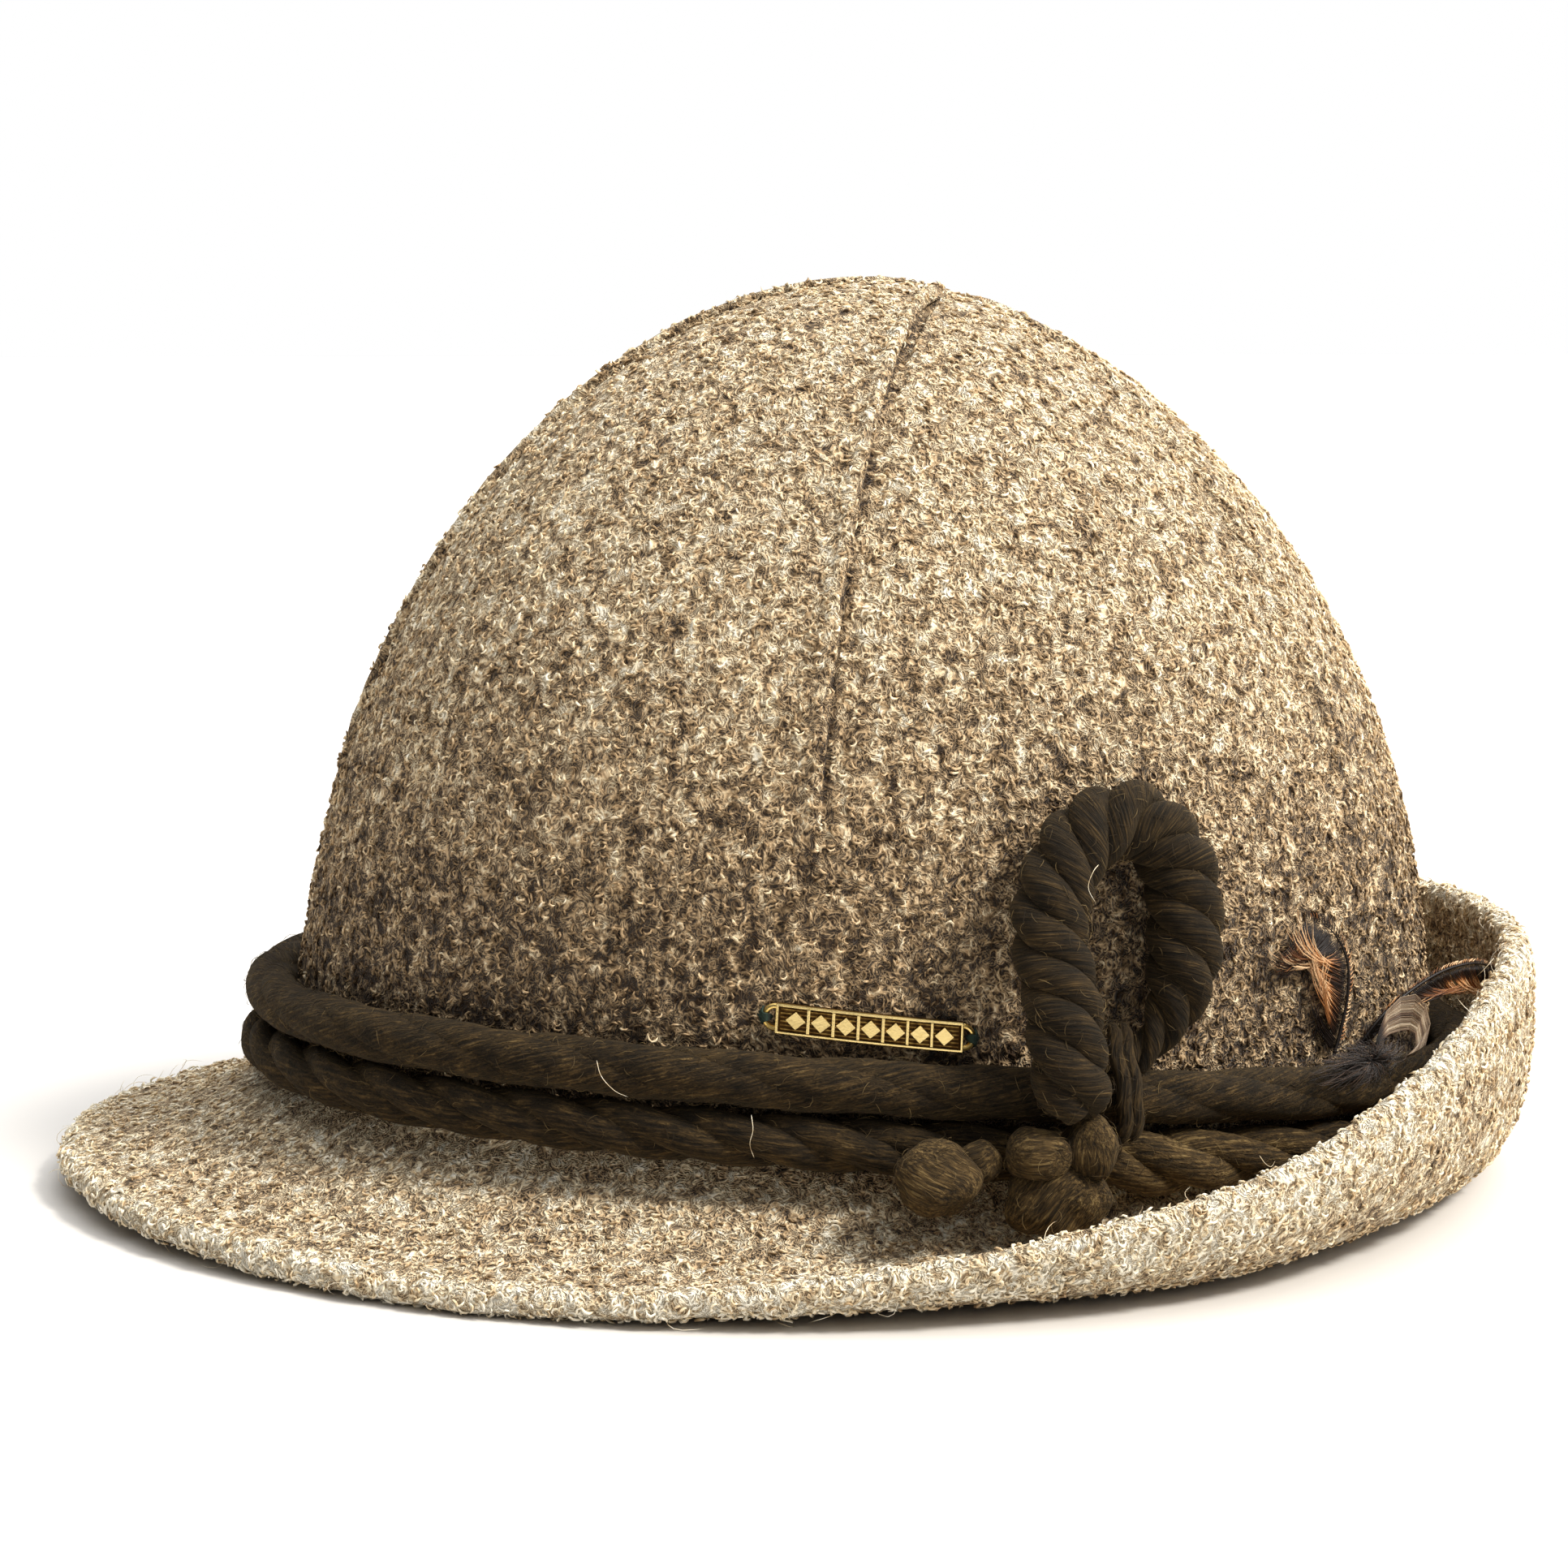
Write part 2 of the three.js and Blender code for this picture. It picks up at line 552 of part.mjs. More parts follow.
const PIECES = [
  ["crown", crown(), "felt"],
  ["brim", brim(), "felt"],
  ["upper_cord", bandCord(true), "cord"],
  ["lower_cord", bandCord(false), "cord"],
  ["loop_cord", loopCord(), "cord"],
  ["loop_tie", loopTie(), "cord"],
  ["knot_centre", knotCentre(), "cord"],
  ["knot_left", knotLeft(), "cord"],
  ["badge", badge(), "brass"],
  ["feather_front", feather(FRONT_QUILL, FRONT_FEATHER, 1), "vane"],
  ["feather_back", feather(BACK_QUILL, BACK_FEATHER, -1), "vane"],
  ["feather_down", featherDown(), "down"],
];

const hat = new THREE.Group();
const box = new THREE.Box3();
for (const [name, geometry, finish] of PIECES) {
  const mesh = new THREE.Mesh(closed(geometry), new THREE.MeshStandardMaterial(FINISHES[finish]));
  mesh.name = name;
  hat.add(mesh);
  box.expandByObject(mesh);
}

// The origin is under the middle of the hat's outline box.
const middle = box.getCenter(new THREE.Vector3());
hat.position.set(-middle.x, -middle.y, -box.min.z);

export default hat;
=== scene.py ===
# %% [markdown]
# # A Tyrolean hat of boiled wool
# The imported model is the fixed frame: it says where each piece is and how big it is. This
# lesson gives that frame its looks, piece by piece: a mottled felt of boiled wool, thick wool
# cords, a brass bar and two feathers. Lengths are written in millimetres and times MM.

# %% Load the frame
import math
import random

import bmesh
import bpy
from mathutils import Matrix, Vector, noise


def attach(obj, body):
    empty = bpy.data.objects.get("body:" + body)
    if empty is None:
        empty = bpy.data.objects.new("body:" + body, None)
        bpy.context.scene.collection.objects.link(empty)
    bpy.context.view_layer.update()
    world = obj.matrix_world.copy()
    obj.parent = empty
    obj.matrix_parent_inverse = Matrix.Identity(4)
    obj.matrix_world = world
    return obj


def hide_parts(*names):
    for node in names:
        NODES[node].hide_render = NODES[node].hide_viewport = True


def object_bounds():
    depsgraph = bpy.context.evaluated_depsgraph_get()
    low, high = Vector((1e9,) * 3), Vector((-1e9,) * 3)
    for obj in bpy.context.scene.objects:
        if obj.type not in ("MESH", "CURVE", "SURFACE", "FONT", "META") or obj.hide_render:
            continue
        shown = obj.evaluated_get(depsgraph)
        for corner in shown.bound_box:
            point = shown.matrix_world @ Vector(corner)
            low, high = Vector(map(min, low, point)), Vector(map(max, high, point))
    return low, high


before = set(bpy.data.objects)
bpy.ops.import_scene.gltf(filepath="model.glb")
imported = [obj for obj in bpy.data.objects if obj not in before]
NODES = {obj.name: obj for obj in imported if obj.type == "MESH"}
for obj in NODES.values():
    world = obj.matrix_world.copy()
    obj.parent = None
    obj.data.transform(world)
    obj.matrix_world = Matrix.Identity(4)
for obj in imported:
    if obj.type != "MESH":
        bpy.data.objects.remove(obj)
cad_low, cad_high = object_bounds()
MM = 0.001
print("frame:", len(NODES), "pieces,", [round(v / MM) for v in cad_high - cad_low], "mm")

# %% [markdown]
# ## The camera
# The picture was taken from the wearer's left and a little from the front, just above the
# table. A real camera looks down by tilting, so this one is tilted too and has no shift.
# Its distance and lens follow from how the brim and the crown line up.

# %% Camera
PICTURE_PIXELS = 1932
FOCAL_PIXELS = 4226
CAMERA_SIDE = 79.09          # degrees from the front toward the wearer's left
CAMERA_DISTANCE = 610.3 * MM
CAMERA_HEIGHT = 149.8 * MM
CAMERA_TILT = 7.774          # degrees down
CAMERA_SLIP = 14.8 * MM      # how far the crown's axis stands right of the picture's middle
CROWN_AXIS = Vector((0, 11.5 * MM, 0))


def heading(degrees):
    """The level direction that lies so many degrees from the front toward the wearer's left."""
    turn = math.radians(degrees)
    return Vector((math.sin(turn), -math.cos(turn), 0))


def in_scene(name, data):
    """A new object of the scene, which shows a mesh, a camera or a light."""
    made = bpy.data.objects.new(name, data)
    bpy.context.scene.collection.objects.link(made)
    return made


camera_data = bpy.data.cameras.new("camera")
camera_data.lens = camera_data.sensor_width * FOCAL_PIXELS / PICTURE_PIXELS
camera_data.clip_start = 10 * MM
camera = in_scene("camera", camera_data)
camera.location = (CROWN_AXIS + heading(CAMERA_SIDE) * CAMERA_DISTANCE
                   - heading(CAMERA_SIDE + 90) * CAMERA_SLIP + Vector((0, 0, CAMERA_HEIGHT)))
look = -heading(CAMERA_SIDE) * math.cos(math.radians(CAMERA_TILT))
look.z = -math.sin(math.radians(CAMERA_TILT))
camera.rotation_euler = look.to_track_quat("-Z", "Y").to_euler()
bpy.context.scene.camera = camera
print("camera: lens", round(camera_data.lens, 1), "mm")

# %% [markdown]
# ## Small helpers for finishes
# Every finish is a tree of nodes. One function adds a node with its settings and links, and
# one turns a colour as a web page writes it into the linear numbers that Blender mixes.

# %% Node and colour helpers


def add(tree, kind, inputs=None, **settings):
    """Adds one node. An input is given a value, or the output that feeds it."""
    made = tree.nodes.new(kind)
    for key, value in settings.items():
        setattr(made, key, value)
    for key, value in (inputs or {}).items():
        socket = made.inputs[key] if isinstance(key, int) else next(
            each for each in made.inputs if each.name == key and each.enabled)
        if isinstance(value, bpy.types.NodeSocket):
            tree.links.new(value, socket)
        else:
            socket.default_value = value
    return made


def linear(hex_colour):
    """A linear RGBA colour from an sRGB hex value."""
    shares = [int(hex_colour[i:i + 2], 16) / 255 for i in (1, 3, 5)]
    return [s / 12.92 if s <= 0.04045 else ((s + 0.055) / 1.055) ** 2.4 for s in shares] + [1.0]


def ramp(tree, source, stops):
    """A colour ramp from (place, hex colour) stops."""
    made = add(tree, "ShaderNodeValToRGB", {"Fac": source})
    while len(made.color_ramp.elements) < len(stops):
        made.color_ramp.elements.new(0.5)
    for element, (place, colour) in zip(made.color_ramp.elements, stops):
        element.position = place
        element.color = linear(colour)
    return made.outputs["Color"]


def per_metre(millimetres):
    """The scale of a pattern whose features are that many millimetres across."""
    return 1 / (millimetres * MM)


def finish(name):
    """A new material with its tree and its shader."""
    material = bpy.data.materials.new(name)
    material.use_nodes = True
    return material, material.node_tree, material.node_tree.nodes["Principled BSDF"]


# %% [markdown]
# ## Boiled wool
# Boiled wool is knitted and then shrunk in hot water until its loops mat together. Grey,
# brown, beige and cream fibres are spun into one yarn, so the eye sees small curly flecks
# about 2 mm across. The knit's columns still show as faint upright streaks. The flecks could
# be painted, but a wool surface has no smooth skin, so the colour here goes with a rough bump
# of the same scale, and loose fibres are added later as real shapes.

# %% Boiled wool finish
FLECK = 2.2                  # mm, one curly fleck
CURL = 2.8                   # mm, the bend of a fibre bundle
STREAK = (3.2, 3.2, 26.0)    # mm, one upright streak of the knit
BUNDLES = 44.0               # a bundle is about 0.4 mm thick: coarser than real so that it shows
WOOL_STOPS = [(0.3, "#3d2e20"), (0.42, "#877053"), (0.53, "#c8ab84"), (0.64, "#f2dfba"), (0.76, "#fff7e3")]


def fibre_bundles(tree, place, size):
    """Curved parallel threads: the level lines of a wandering noise."""
    field = add(tree, "ShaderNodeTexNoise", {
        "Vector": place, "Scale": per_metre(size), "Detail": 0.5, "Distortion": 1.1})
    lines = add(tree, "ShaderNodeMath", {0: field.outputs["Fac"], 1: BUNDLES}, operation="MULTIPLY")
    return add(tree, "ShaderNodeMath", {0: lines.outputs[0]}, operation="SINE").outputs[0]


def wool_tone(tree, place):
    """The mixture's flecks, and its tone from dark to light, which felt and curls share."""
    flecks = add(tree, "ShaderNodeTexNoise", {
        "Vector": place, "Scale": per_metre(FLECK), "Detail": 2.0, "Roughness": 0.6, "Distortion": 0.8})
    stretched = add(tree, "ShaderNodeMapping", {
        "Vector": place, "Scale": [per_metre(size) for size in STREAK]})
    streaks = add(tree, "ShaderNodeTexNoise", {
        "Vector": stretched.outputs["Vector"], "Scale": 1.0, "Detail": 1.0})
    # A share that paints shade on the crown's foot and light on the brim's edge.
    soiled = add(tree, "ShaderNodeAttribute", attribute_name="soiled")
    tone = add(tree, "ShaderNodeMath", {
        0: flecks.outputs["Fac"], 1: 0.85, 2: -0.035}, operation="MULTIPLY_ADD")
    tone = add(tree, "ShaderNodeMath", {
        0: streaks.outputs["Fac"], 1: 0.24, 2: tone.outputs[0]}, operation="MULTIPLY_ADD")
    tone = add(tree, "ShaderNodeMath", {
        0: soiled.outputs["Fac"], 1: -0.16, 2: tone.outputs[0]}, operation="MULTIPLY_ADD")
    return flecks.outputs["Fac"], tone.outputs[0]


boiled_wool, tree, shader = finish("boiled_wool")
place = add(tree, "ShaderNodeTexCoord").outputs["Object"]
moved = add(tree, "ShaderNodeMapping", {"Vector": place, "Location": (0.31, 0.17, 0.23)}).outputs["Vector"]
flecks, tone = wool_tone(tree, place)
first, second = fibre_bundles(tree, place, CURL), fibre_bundles(tree, moved, CURL * 0.7)
bundles = add(tree, "ShaderNodeMath", {0: first, 1: second}, operation="MAXIMUM")
# The dart grooves are darkened with painted shade.
seam = add(tree, "ShaderNodeAttribute", attribute_name="seam")
tone = add(tree, "ShaderNodeMath", {0: bundles.outputs[0], 1: 0.1, 2: tone}, operation="MULTIPLY_ADD")
tone = add(tree, "ShaderNodeMath", {
    0: seam.outputs["Fac"], 1: -0.16, 2: tone.outputs[0]}, operation="MULTIPLY_ADD")
colour = ramp(tree, tone.outputs[0], WOOL_STOPS)
relief = add(tree, "ShaderNodeMath", {
    0: bundles.outputs[0], 1: 0.22, 2: flecks}, operation="MULTIPLY_ADD")
bump = add(tree, "ShaderNodeBump", {
    "Height": relief.outputs[0], "Strength": 1.0, "Distance": 1.5 * MM})
tree.links.new(colour, shader.inputs["Base Color"])
tree.links.new(bump.outputs["Normal"], shader.inputs["Normal"])
shader.inputs["Roughness"].default_value = 0.95
shader.inputs["Specular IOR Level"].default_value = 0.15
shader.inputs["Sheen Weight"].default_value = 0.1
print("finish:", boiled_wool.name)

# %% [markdown]
# ## The felt of crown and brim
# Both are one thick felt. The CAD solids have the right form, so each is copied, its loose
# triangles are welded back to quads, and a subdivision surface rounds it. Modelling them
# again would only lose the form. A little noise then makes the surface as lumpy as
# felt is.

# %% Felt shells


def shown(name, mesh, *materials):
    """Puts a finished mesh in the scene as a piece of the hat."""
    for material in materials:
        mesh.materials.append(material)
    piece = in_scene(name, mesh)
    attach(piece, "root")
    return piece


def solid_copy(node):
    """A welded copy of a CAD node with its quads restored."""
    bm = bmesh.new()
    bm.from_mesh(NODES[node].data)
    bmesh.ops.remove_doubles(bm, verts=bm.verts, dist=0.01 * MM)
    bmesh.ops.join_triangles(bm, faces=bm.faces, angle_face_threshold=math.radians(60),
                             angle_shape_threshold=math.radians(60))
    return bm


def mesh_from(name, bm):
    """Ends a bmesh as a new mesh."""
    mesh = bpy.data.meshes.new(name)
    bm.to_mesh(mesh)
    bm.free()
    return mesh


def applied(helper):
    """A new mesh: what a helper object's modifier makes. The helper is then removed."""
    bpy.context.view_layer.update()
    mesh = bpy.data.meshes.new_from_object(helper.evaluated_get(bpy.context.evaluated_depsgraph_get()))
    bpy.data.objects.remove(helper)
    return mesh


def subdivided(bm, levels):
    """A new mesh: the bmesh rounded by a subdivision surface."""
    helper = in_scene("rounding", mesh_from("rounding", bm))
    rounding = helper.modifiers.new("rounding", "SUBSURF")
    rounding.levels = rounding.render_levels = levels
    return applied(helper)


def round_the_crown(point):
    """Direction of a point, in degrees from the front toward the wearer's left."""
    flat = point - CROWN_AXIS
    return math.degrees(math.atan2(flat.x, -flat.y)) % 360


crown_mesh = subdivided(solid_copy("crown"), 2)
brim_mesh = subdivided(solid_copy("brim"), 2)
print("felt:", len(crown_mesh.polygons), "and", len(brim_mesh.polygons), "faces")

# %% Lumps
LUMP = 3.5 * MM
LUMP_HEIGHT = 0.22 * MM
EDGE_LUMP_HEIGHT = 0.7 * MM
EDGE_FROM, EDGE_TO = 0.86, 0.95   # shares of the brim's reach: where its worn edge begins
SECTORS = 120


def add_share(mesh, name, shares):
    """Stores a number from 0 to 1 on each point of a mesh."""
    mesh.attributes.new(name, "FLOAT", "POINT").data.foreach_set("value", shares)


def brim_reach(mesh):
    """How far out each point of the brim is, from 0 at its foot to 1 at its edge."""
    sectors = [[] for _ in range(SECTORS)]
    for vertex in mesh.vertices:
        sectors[int(round_the_crown(vertex.co) / 360 * SECTORS) % SECTORS].append(vertex.co)
    feet = [min(points, key=lambda p: (p - CROWN_AXIS).xy.length).copy() for points in sectors]
    reaches = [max((p - foot).length for p in points) for foot, points in zip(feet, sectors)]

    def share(point):
        sector = int(round_the_crown(point) / 360 * SECTORS) % SECTORS
        return min((point - feet[sector]).length / reaches[sector], 1.0)

    return [share(vertex.co) for vertex in mesh.vertices]


def smooth_step(value, low, high):
    """0 below low, 1 above high, and a smooth rise between."""
    share = min(max((value - low) / (high - low), 0.0), 1.0)
    return share * share * (3 - 2 * share)


def lumpy(mesh, edge_shares):
    """Moves each point along its normal by a little noise, more so at the brim's edge."""
    normals = [vertex.normal.copy() for vertex in mesh.vertices]
    for vertex, normal, share in zip(mesh.vertices, normals, edge_shares):
        height = LUMP_HEIGHT + (EDGE_LUMP_HEIGHT - LUMP_HEIGHT) * share
        lump = noise.noise(vertex.co / LUMP) * height
        vertex.co += normal * (min(lump, vertex.co.z) if normal.z < 0 else lump)


reach = brim_reach(brim_mesh)
edge = [smooth_step(share, EDGE_FROM, EDGE_TO) for share in reach]
lumpy(brim_mesh, edge)
lumpy(crown_mesh, [0.0] * len(crown_mesh.vertices))
print("points at the brim's worn edge:", sum(share > 0.5 for share in edge))

# %% [markdown]
# ## The crown in numbers
# Darts, cords, knots, bar and feathers lie on the crown, so their places are given as a hatter
# would: a direction round the crown, a height, and how far out from the wall. These few
# formulas repeat the crown's oval, its dome and the sloping line where the brim begins.

# %% The crown in numbers
HALF_LENGTH = 103 * MM
HALF_WIDTH = 84 * MM
CROWN_TOP = 156 * MM
CROWN_BELLY = 2.4 * MM       # how far the dome's middle height stands behind its foot
DOME_RISE, DOME_SPREAD = 2.2, 1.8
SEAT_FRONT = 19.5 * MM       # where the brim begins, above the table
SEAT_LEFT = 15.8 * MM
SEAT_BACK = 5.2 * MM
SEAT_LEAN = 2.5 * MM
GAP = 0.3 * MM
CORD = 9 * MM
BAND_TOP = 2 * CORD + GAP
UP = Vector((0, 0, 1))


def seat(degrees):
    """Height of the line between crown and brim."""
    turn = math.radians(degrees)
    middle = (SEAT_FRONT + SEAT_BACK) / 2
    side = SEAT_LEFT - SEAT_LEAN - middle
    return (middle + (SEAT_FRONT - SEAT_BACK) / 2 * math.cos(turn)
            + side * math.sin(turn) ** 2 + SEAT_LEAN * math.sin(turn))


def oval_radius(degrees):
    """Radius of the crown's foot in a direction."""
    turn = math.radians(degrees)
    return 1 / math.hypot(math.sin(turn) / HALF_WIDTH, math.cos(turn) / HALF_LENGTH)


def outward(degrees):
    """The level direction square to the wall."""
    way = heading(degrees)
    return Vector((way.x / HALF_WIDTH ** 2, way.y / HALF_LENGTH ** 2, 0)).normalized()


def beside(degrees, height, out):
    """A point some way out from the crown's wall."""
    rise = min(max((height - seat(degrees)) / (CROWN_TOP - seat(degrees)), 0), 1)
    width = (1 - rise ** DOME_RISE) ** (1 / DOME_SPREAD)
    point = CROWN_AXIS + heading(degrees) * oval_radius(degrees) * width
    point.y += CROWN_BELLY * 4 * rise * (1 - rise)
    point.z = height
    return point + outward(degrees) * out


def degrees_along(degrees, length, out=0.0):
    """The direction reached by going a length round the crown, toward the back."""
    return degrees + math.degrees(length / (oval_radius(degrees) + out))


print("girth of the crown's foot:", round(math.tau * (HALF_LENGTH + HALF_WIDTH) / 2 / MM), "mm")

# %% [markdown]
# ## Darts
# Five darts take in the felt toward the top. Each is a narrow fold sewn from behind, so it
# shows as a groove with a soft lip on its front side. Rounding the CAD mesh softened them,
# and they are pressed in again here, along the same upright planes. Their place is also
# kept as a share, which darkens the groove with painted shade and keeps the curls out of it.

# %% Darts
DARTS = 5
DART_DEPTH, DART_LIP = 1.3 * MM, 1.1 * MM
DART_WIDTH, LIP_WIDTH = 0.75 * MM, 1.3 * MM
DART_FOOT, DART_FADE = 64 * MM, 14 * MM
DARTS_MEET = CROWN_AXIS + Vector((0, 16 * MM, 0))


def dart_profile(point):
    """How deep the groove and how high the lip is at a point, both from 0 to 1."""
    groove = lip = 0.0
    flat = (point - DARTS_MEET).xy
    for dart in range(DARTS):
        way = heading(360 / DARTS * dart)
        foot = CROWN_AXIS + way / math.hypot(way.x / HALF_WIDTH, way.y / HALF_LENGTH)
        line = (foot - DARTS_MEET).xy.normalized()
        if flat.dot(line) > 0:
            aside = line.cross(flat)
            groove = max(groove, math.exp(-(aside / DART_WIDTH) ** 2))
            lip = max(lip, math.exp(-((aside + 1.7 * MM) / LIP_WIDTH) ** 2))
    fade = smooth_step(point.z, DART_FOOT, DART_FOOT + DART_FADE) * smooth_step(flat.length, 0, 8 * MM)
    return groove * fade, lip * fade


middle = Vector((0, CROWN_AXIS.y, cad_high.z / 3))
normals = [vertex.normal.copy() for vertex in crown_mesh.vertices]
seams = []
for vertex, normal in zip(crown_mesh.vertices, normals):
    groove, lip = dart_profile(vertex.co) if normal.dot(vertex.co - middle) > 0 else (0, 0)
    vertex.co += normal * (DART_LIP * lip * (1 - groove) - DART_DEPTH * groove)
    seams.append(groove)
# Kept for the painted shade of the grooves.
add_share(crown_mesh, "seam", seams)
print("darts:", DARTS)

# %% Where the curls grow
# Heights over which the painted shade of the crown's foot fades out.
PAINTED_SHADE_LOW, PAINTED_SHADE_HIGH = 34 * MM, 112 * MM
CURLS_LOW, CURLS_HIGH = 24 * MM, 30 * MM          # the cords cover the crown below this
BRIM_CURLS_FROM, BRIM_CURLS_TO = 0.2, 0.35        # shares of the brim's reach
outside = [1.0 if normal.dot(vertex.co - middle) > 0 else 0.0
           for vertex, normal in zip(crown_mesh.vertices, normals)]
add_share(crown_mesh, "curly", [
    share * smooth_step(vertex.co.z, CURLS_LOW, CURLS_HIGH) * (1 - groove)
    for share, groove, vertex in zip(outside, seams, crown_mesh.vertices)])
add_share(brim_mesh, "curly", [smooth_step(share, BRIM_CURLS_FROM, BRIM_CURLS_TO) for share in reach])
add_share(brim_mesh, "edge", edge)
# Painted shade darkens the crown's foot beside the cords, and painted light, as if bounced from the table,
# lightens the brim's worn edge.
add_share(crown_mesh, "soiled", [
    1 - smooth_step(vertex.co.z, PAINTED_SHADE_LOW, PAINTED_SHADE_HIGH) for vertex in crown_mesh.vertices])
add_share(brim_mesh, "soiled", [-0.7 * share for share in edge])
for mesh in (crown_mesh, brim_mesh):
    for polygon in mesh.polygons:
        polygon.use_smooth = True
    mesh.materials.clear()
crown = shown("crown_felt", crown_mesh, boiled_wool)
brim = shown("brim_felt", brim_mesh, boiled_wool)
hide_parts("crown")
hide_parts("brim")
print("felt shells placed")

# %% [markdown]
# ## Drawing yarn
# Cords, knots, quills and single fibres are all long round things, so one tool draws them
# all: a circle is extruded along a line, ring by ring. A curve with a bevel would be quicker
# to write, but here each new point also keeps its place in the yarn, as an attribute named
# strand. A finish can then draw fibres that follow the yarn wherever it turns.

# %% Sweep


def smooth_line(points, count):
    """Evenly spaced points on a smooth line through the given ones."""
    ends = [points[0] * 2 - points[1], *points, points[-1] * 2 - points[-2]]
    fine = []
    for corners in zip(ends, ends[1:], ends[2:], ends[3:]):
        k = [0.0]
        for near, far in zip(corners, corners[1:]):
            k.append(k[-1] + max((far - near).length, 1e-9) ** 0.5)
        for step in range(20):
            at = k[1] + (k[2] - k[1]) * step / 20
            a, b, c = (corners[i].lerp(corners[i + 1], (at - k[i]) / (k[i + 1] - k[i])) for i in range(3))
            d, e = (p.lerp(q, (at - k[i]) / (k[i + 2] - k[i])) for i, (p, q) in enumerate(((a, b), (b, c))))
            fine.append(d.lerp(e, (at - k[1]) / (k[2] - k[1])))
    fine.append(points[-1])
    lengths = [0.0]
    for near, far in zip(fine, fine[1:]):
        lengths.append(lengths[-1] + (far - near).length)
    line, place = [], 0
    for step in range(count):
        goal = lengths[-1] * step / (count - 1)
        while place < len(fine) - 2 and lengths[place + 1] < goal:
            place += 1
        share = (goal - lengths[place]) / (lengths[place + 1] - lengths[place])
        line.append(fine[place].lerp(fine[place + 1], share))
    return line


def turned_axes(line, hint, wide, deep=None):
    """Two half-axes for each point of a line: the first lies close to the hint's direction."""
    axes = []
    for index, point in enumerate(line):
        ahead = (line[min(index + 1, len(line) - 1)] - line[max(index - 1, 0)]).normalized()
        way = hint(index) if callable(hint) else hint
        first = (way - ahead * way.dot(ahead)).normalized()
        second = ahead.cross(first)
        size = wide(index) if callable(wide) else wide
        other = size if deep is None else deep(index) if callable(deep) else deep
        axes.append((first * size, second * other))
    return axes


def edges_of(verts):
    """The edges round some vertices, each once and in the same order at each run."""
    return list(dict.fromkeys(edge for vert in verts for edge in vert.link_edges))


def sweep(bm, line, axes, sides, closed=False, twist=0.0):
    """Adds a closed skin round a line. twist is in turns per metre."""
    layers = bm.verts.layers.float_vector
    strand, unit = (layers.get(name) or layers.new(name) for name in ("strand", "unit"))
    ring = bmesh.ops.create_circle(bm, segments=sides, radius=1.0)["verts"]
    for vert in ring:
        vert[unit] = vert.co
    edges = first_edges = edges_of(ring)
    first_ring = ring
    along = 0.0
    for index, (middle, (wide, deep)) in enumerate(zip(line, axes)):
        if index:
            made = bmesh.ops.extrude_edge_only(bm, edges=edges)["geom"]
            ring = [item for item in made if isinstance(item, bmesh.types.BMVert)]
            edges = [item for item in made if isinstance(item, bmesh.types.BMEdge)]
            along += (middle - line[index - 1]).length
        turn = math.tau * twist * along
        for vert in ring:
            x, y, _ = vert[unit]
            vert.co = middle + wide * x + deep * y
            x, y = x * math.cos(turn) + y * math.sin(turn), y * math.cos(turn) - x * math.sin(turn)
            vert[strand] = (along, x * wide.length, y * deep.length)
    if closed:
        bmesh.ops.bridge_loops(bm, edges=edges + first_edges)
    else:
        for verts, middle in ((first_ring, line[0]), (ring, line[-1])):
            bmesh.ops.pointmerge(bm, verts=verts, merge_co=middle)


def yarn_mesh(name, bm):
    """Ends a bmesh of swept yarn: faces outward, smooth, and sorted by their points.

    Extruding adds the faces of a ring in an order that differs from run to run, and the hairs
    that are scattered over them later would move with it."""
    bmesh.ops.recalc_face_normals(bm, faces=bm.faces)
    bm.verts.index_update()
    count = len(bm.verts)

    def rank(face):
        low, middle, high = sorted(vert.index for vert in face.verts)[:3]
        return (low * count + middle) * count + high

    bm.faces.sort(key=rank)
    bm.verts.layers.float_vector.remove(bm.verts.layers.float_vector["unit"])
    for face in bm.faces:
        face.smooth = True
    return mesh_from(name, bm)


# %% [markdown]
# ## The wool of the cords
# The cords are soft roving: long dark olive-brown fibres laid side by side with very little
# twist, slightly felted on the outside. Light catches single fibres, and the creases between
# strands are nearly black. Noise that is stretched ten times along the strand draws them.

# %% Wool roving finish
FIBRE = 0.24                 # mm across, one bundle of fibres: coarser than real so that it shows
FIBRE_LENGTH = 4.0           # mm
ROVING_STOPS = [(0.3, "#0a0703"), (0.44, "#1e160b"), (0.56, "#332715"), (0.68, "#513f24"), (0.82, "#7d6842")]

wool_roving, tree, shader = finish("wool_roving")
strand = add(tree, "ShaderNodeAttribute", attribute_name="strand").outputs["Vector"]
laid = add(tree, "ShaderNodeMapping", {
    "Vector": strand, "Scale": (per_metre(FIBRE_LENGTH), per_metre(FIBRE * 2), per_metre(FIBRE * 2))})
fibres = add(tree, "ShaderNodeTexNoise", {
    "Vector": laid.outputs["Vector"], "Scale": 1.0, "Detail": 3.0, "Roughness": 0.65, "Distortion": 0.35})
place = add(tree, "ShaderNodeTexCoord").outputs["Object"]
patches = add(tree, "ShaderNodeTexNoise", {"Vector": place, "Scale": per_metre(5.0), "Detail": 2.0})
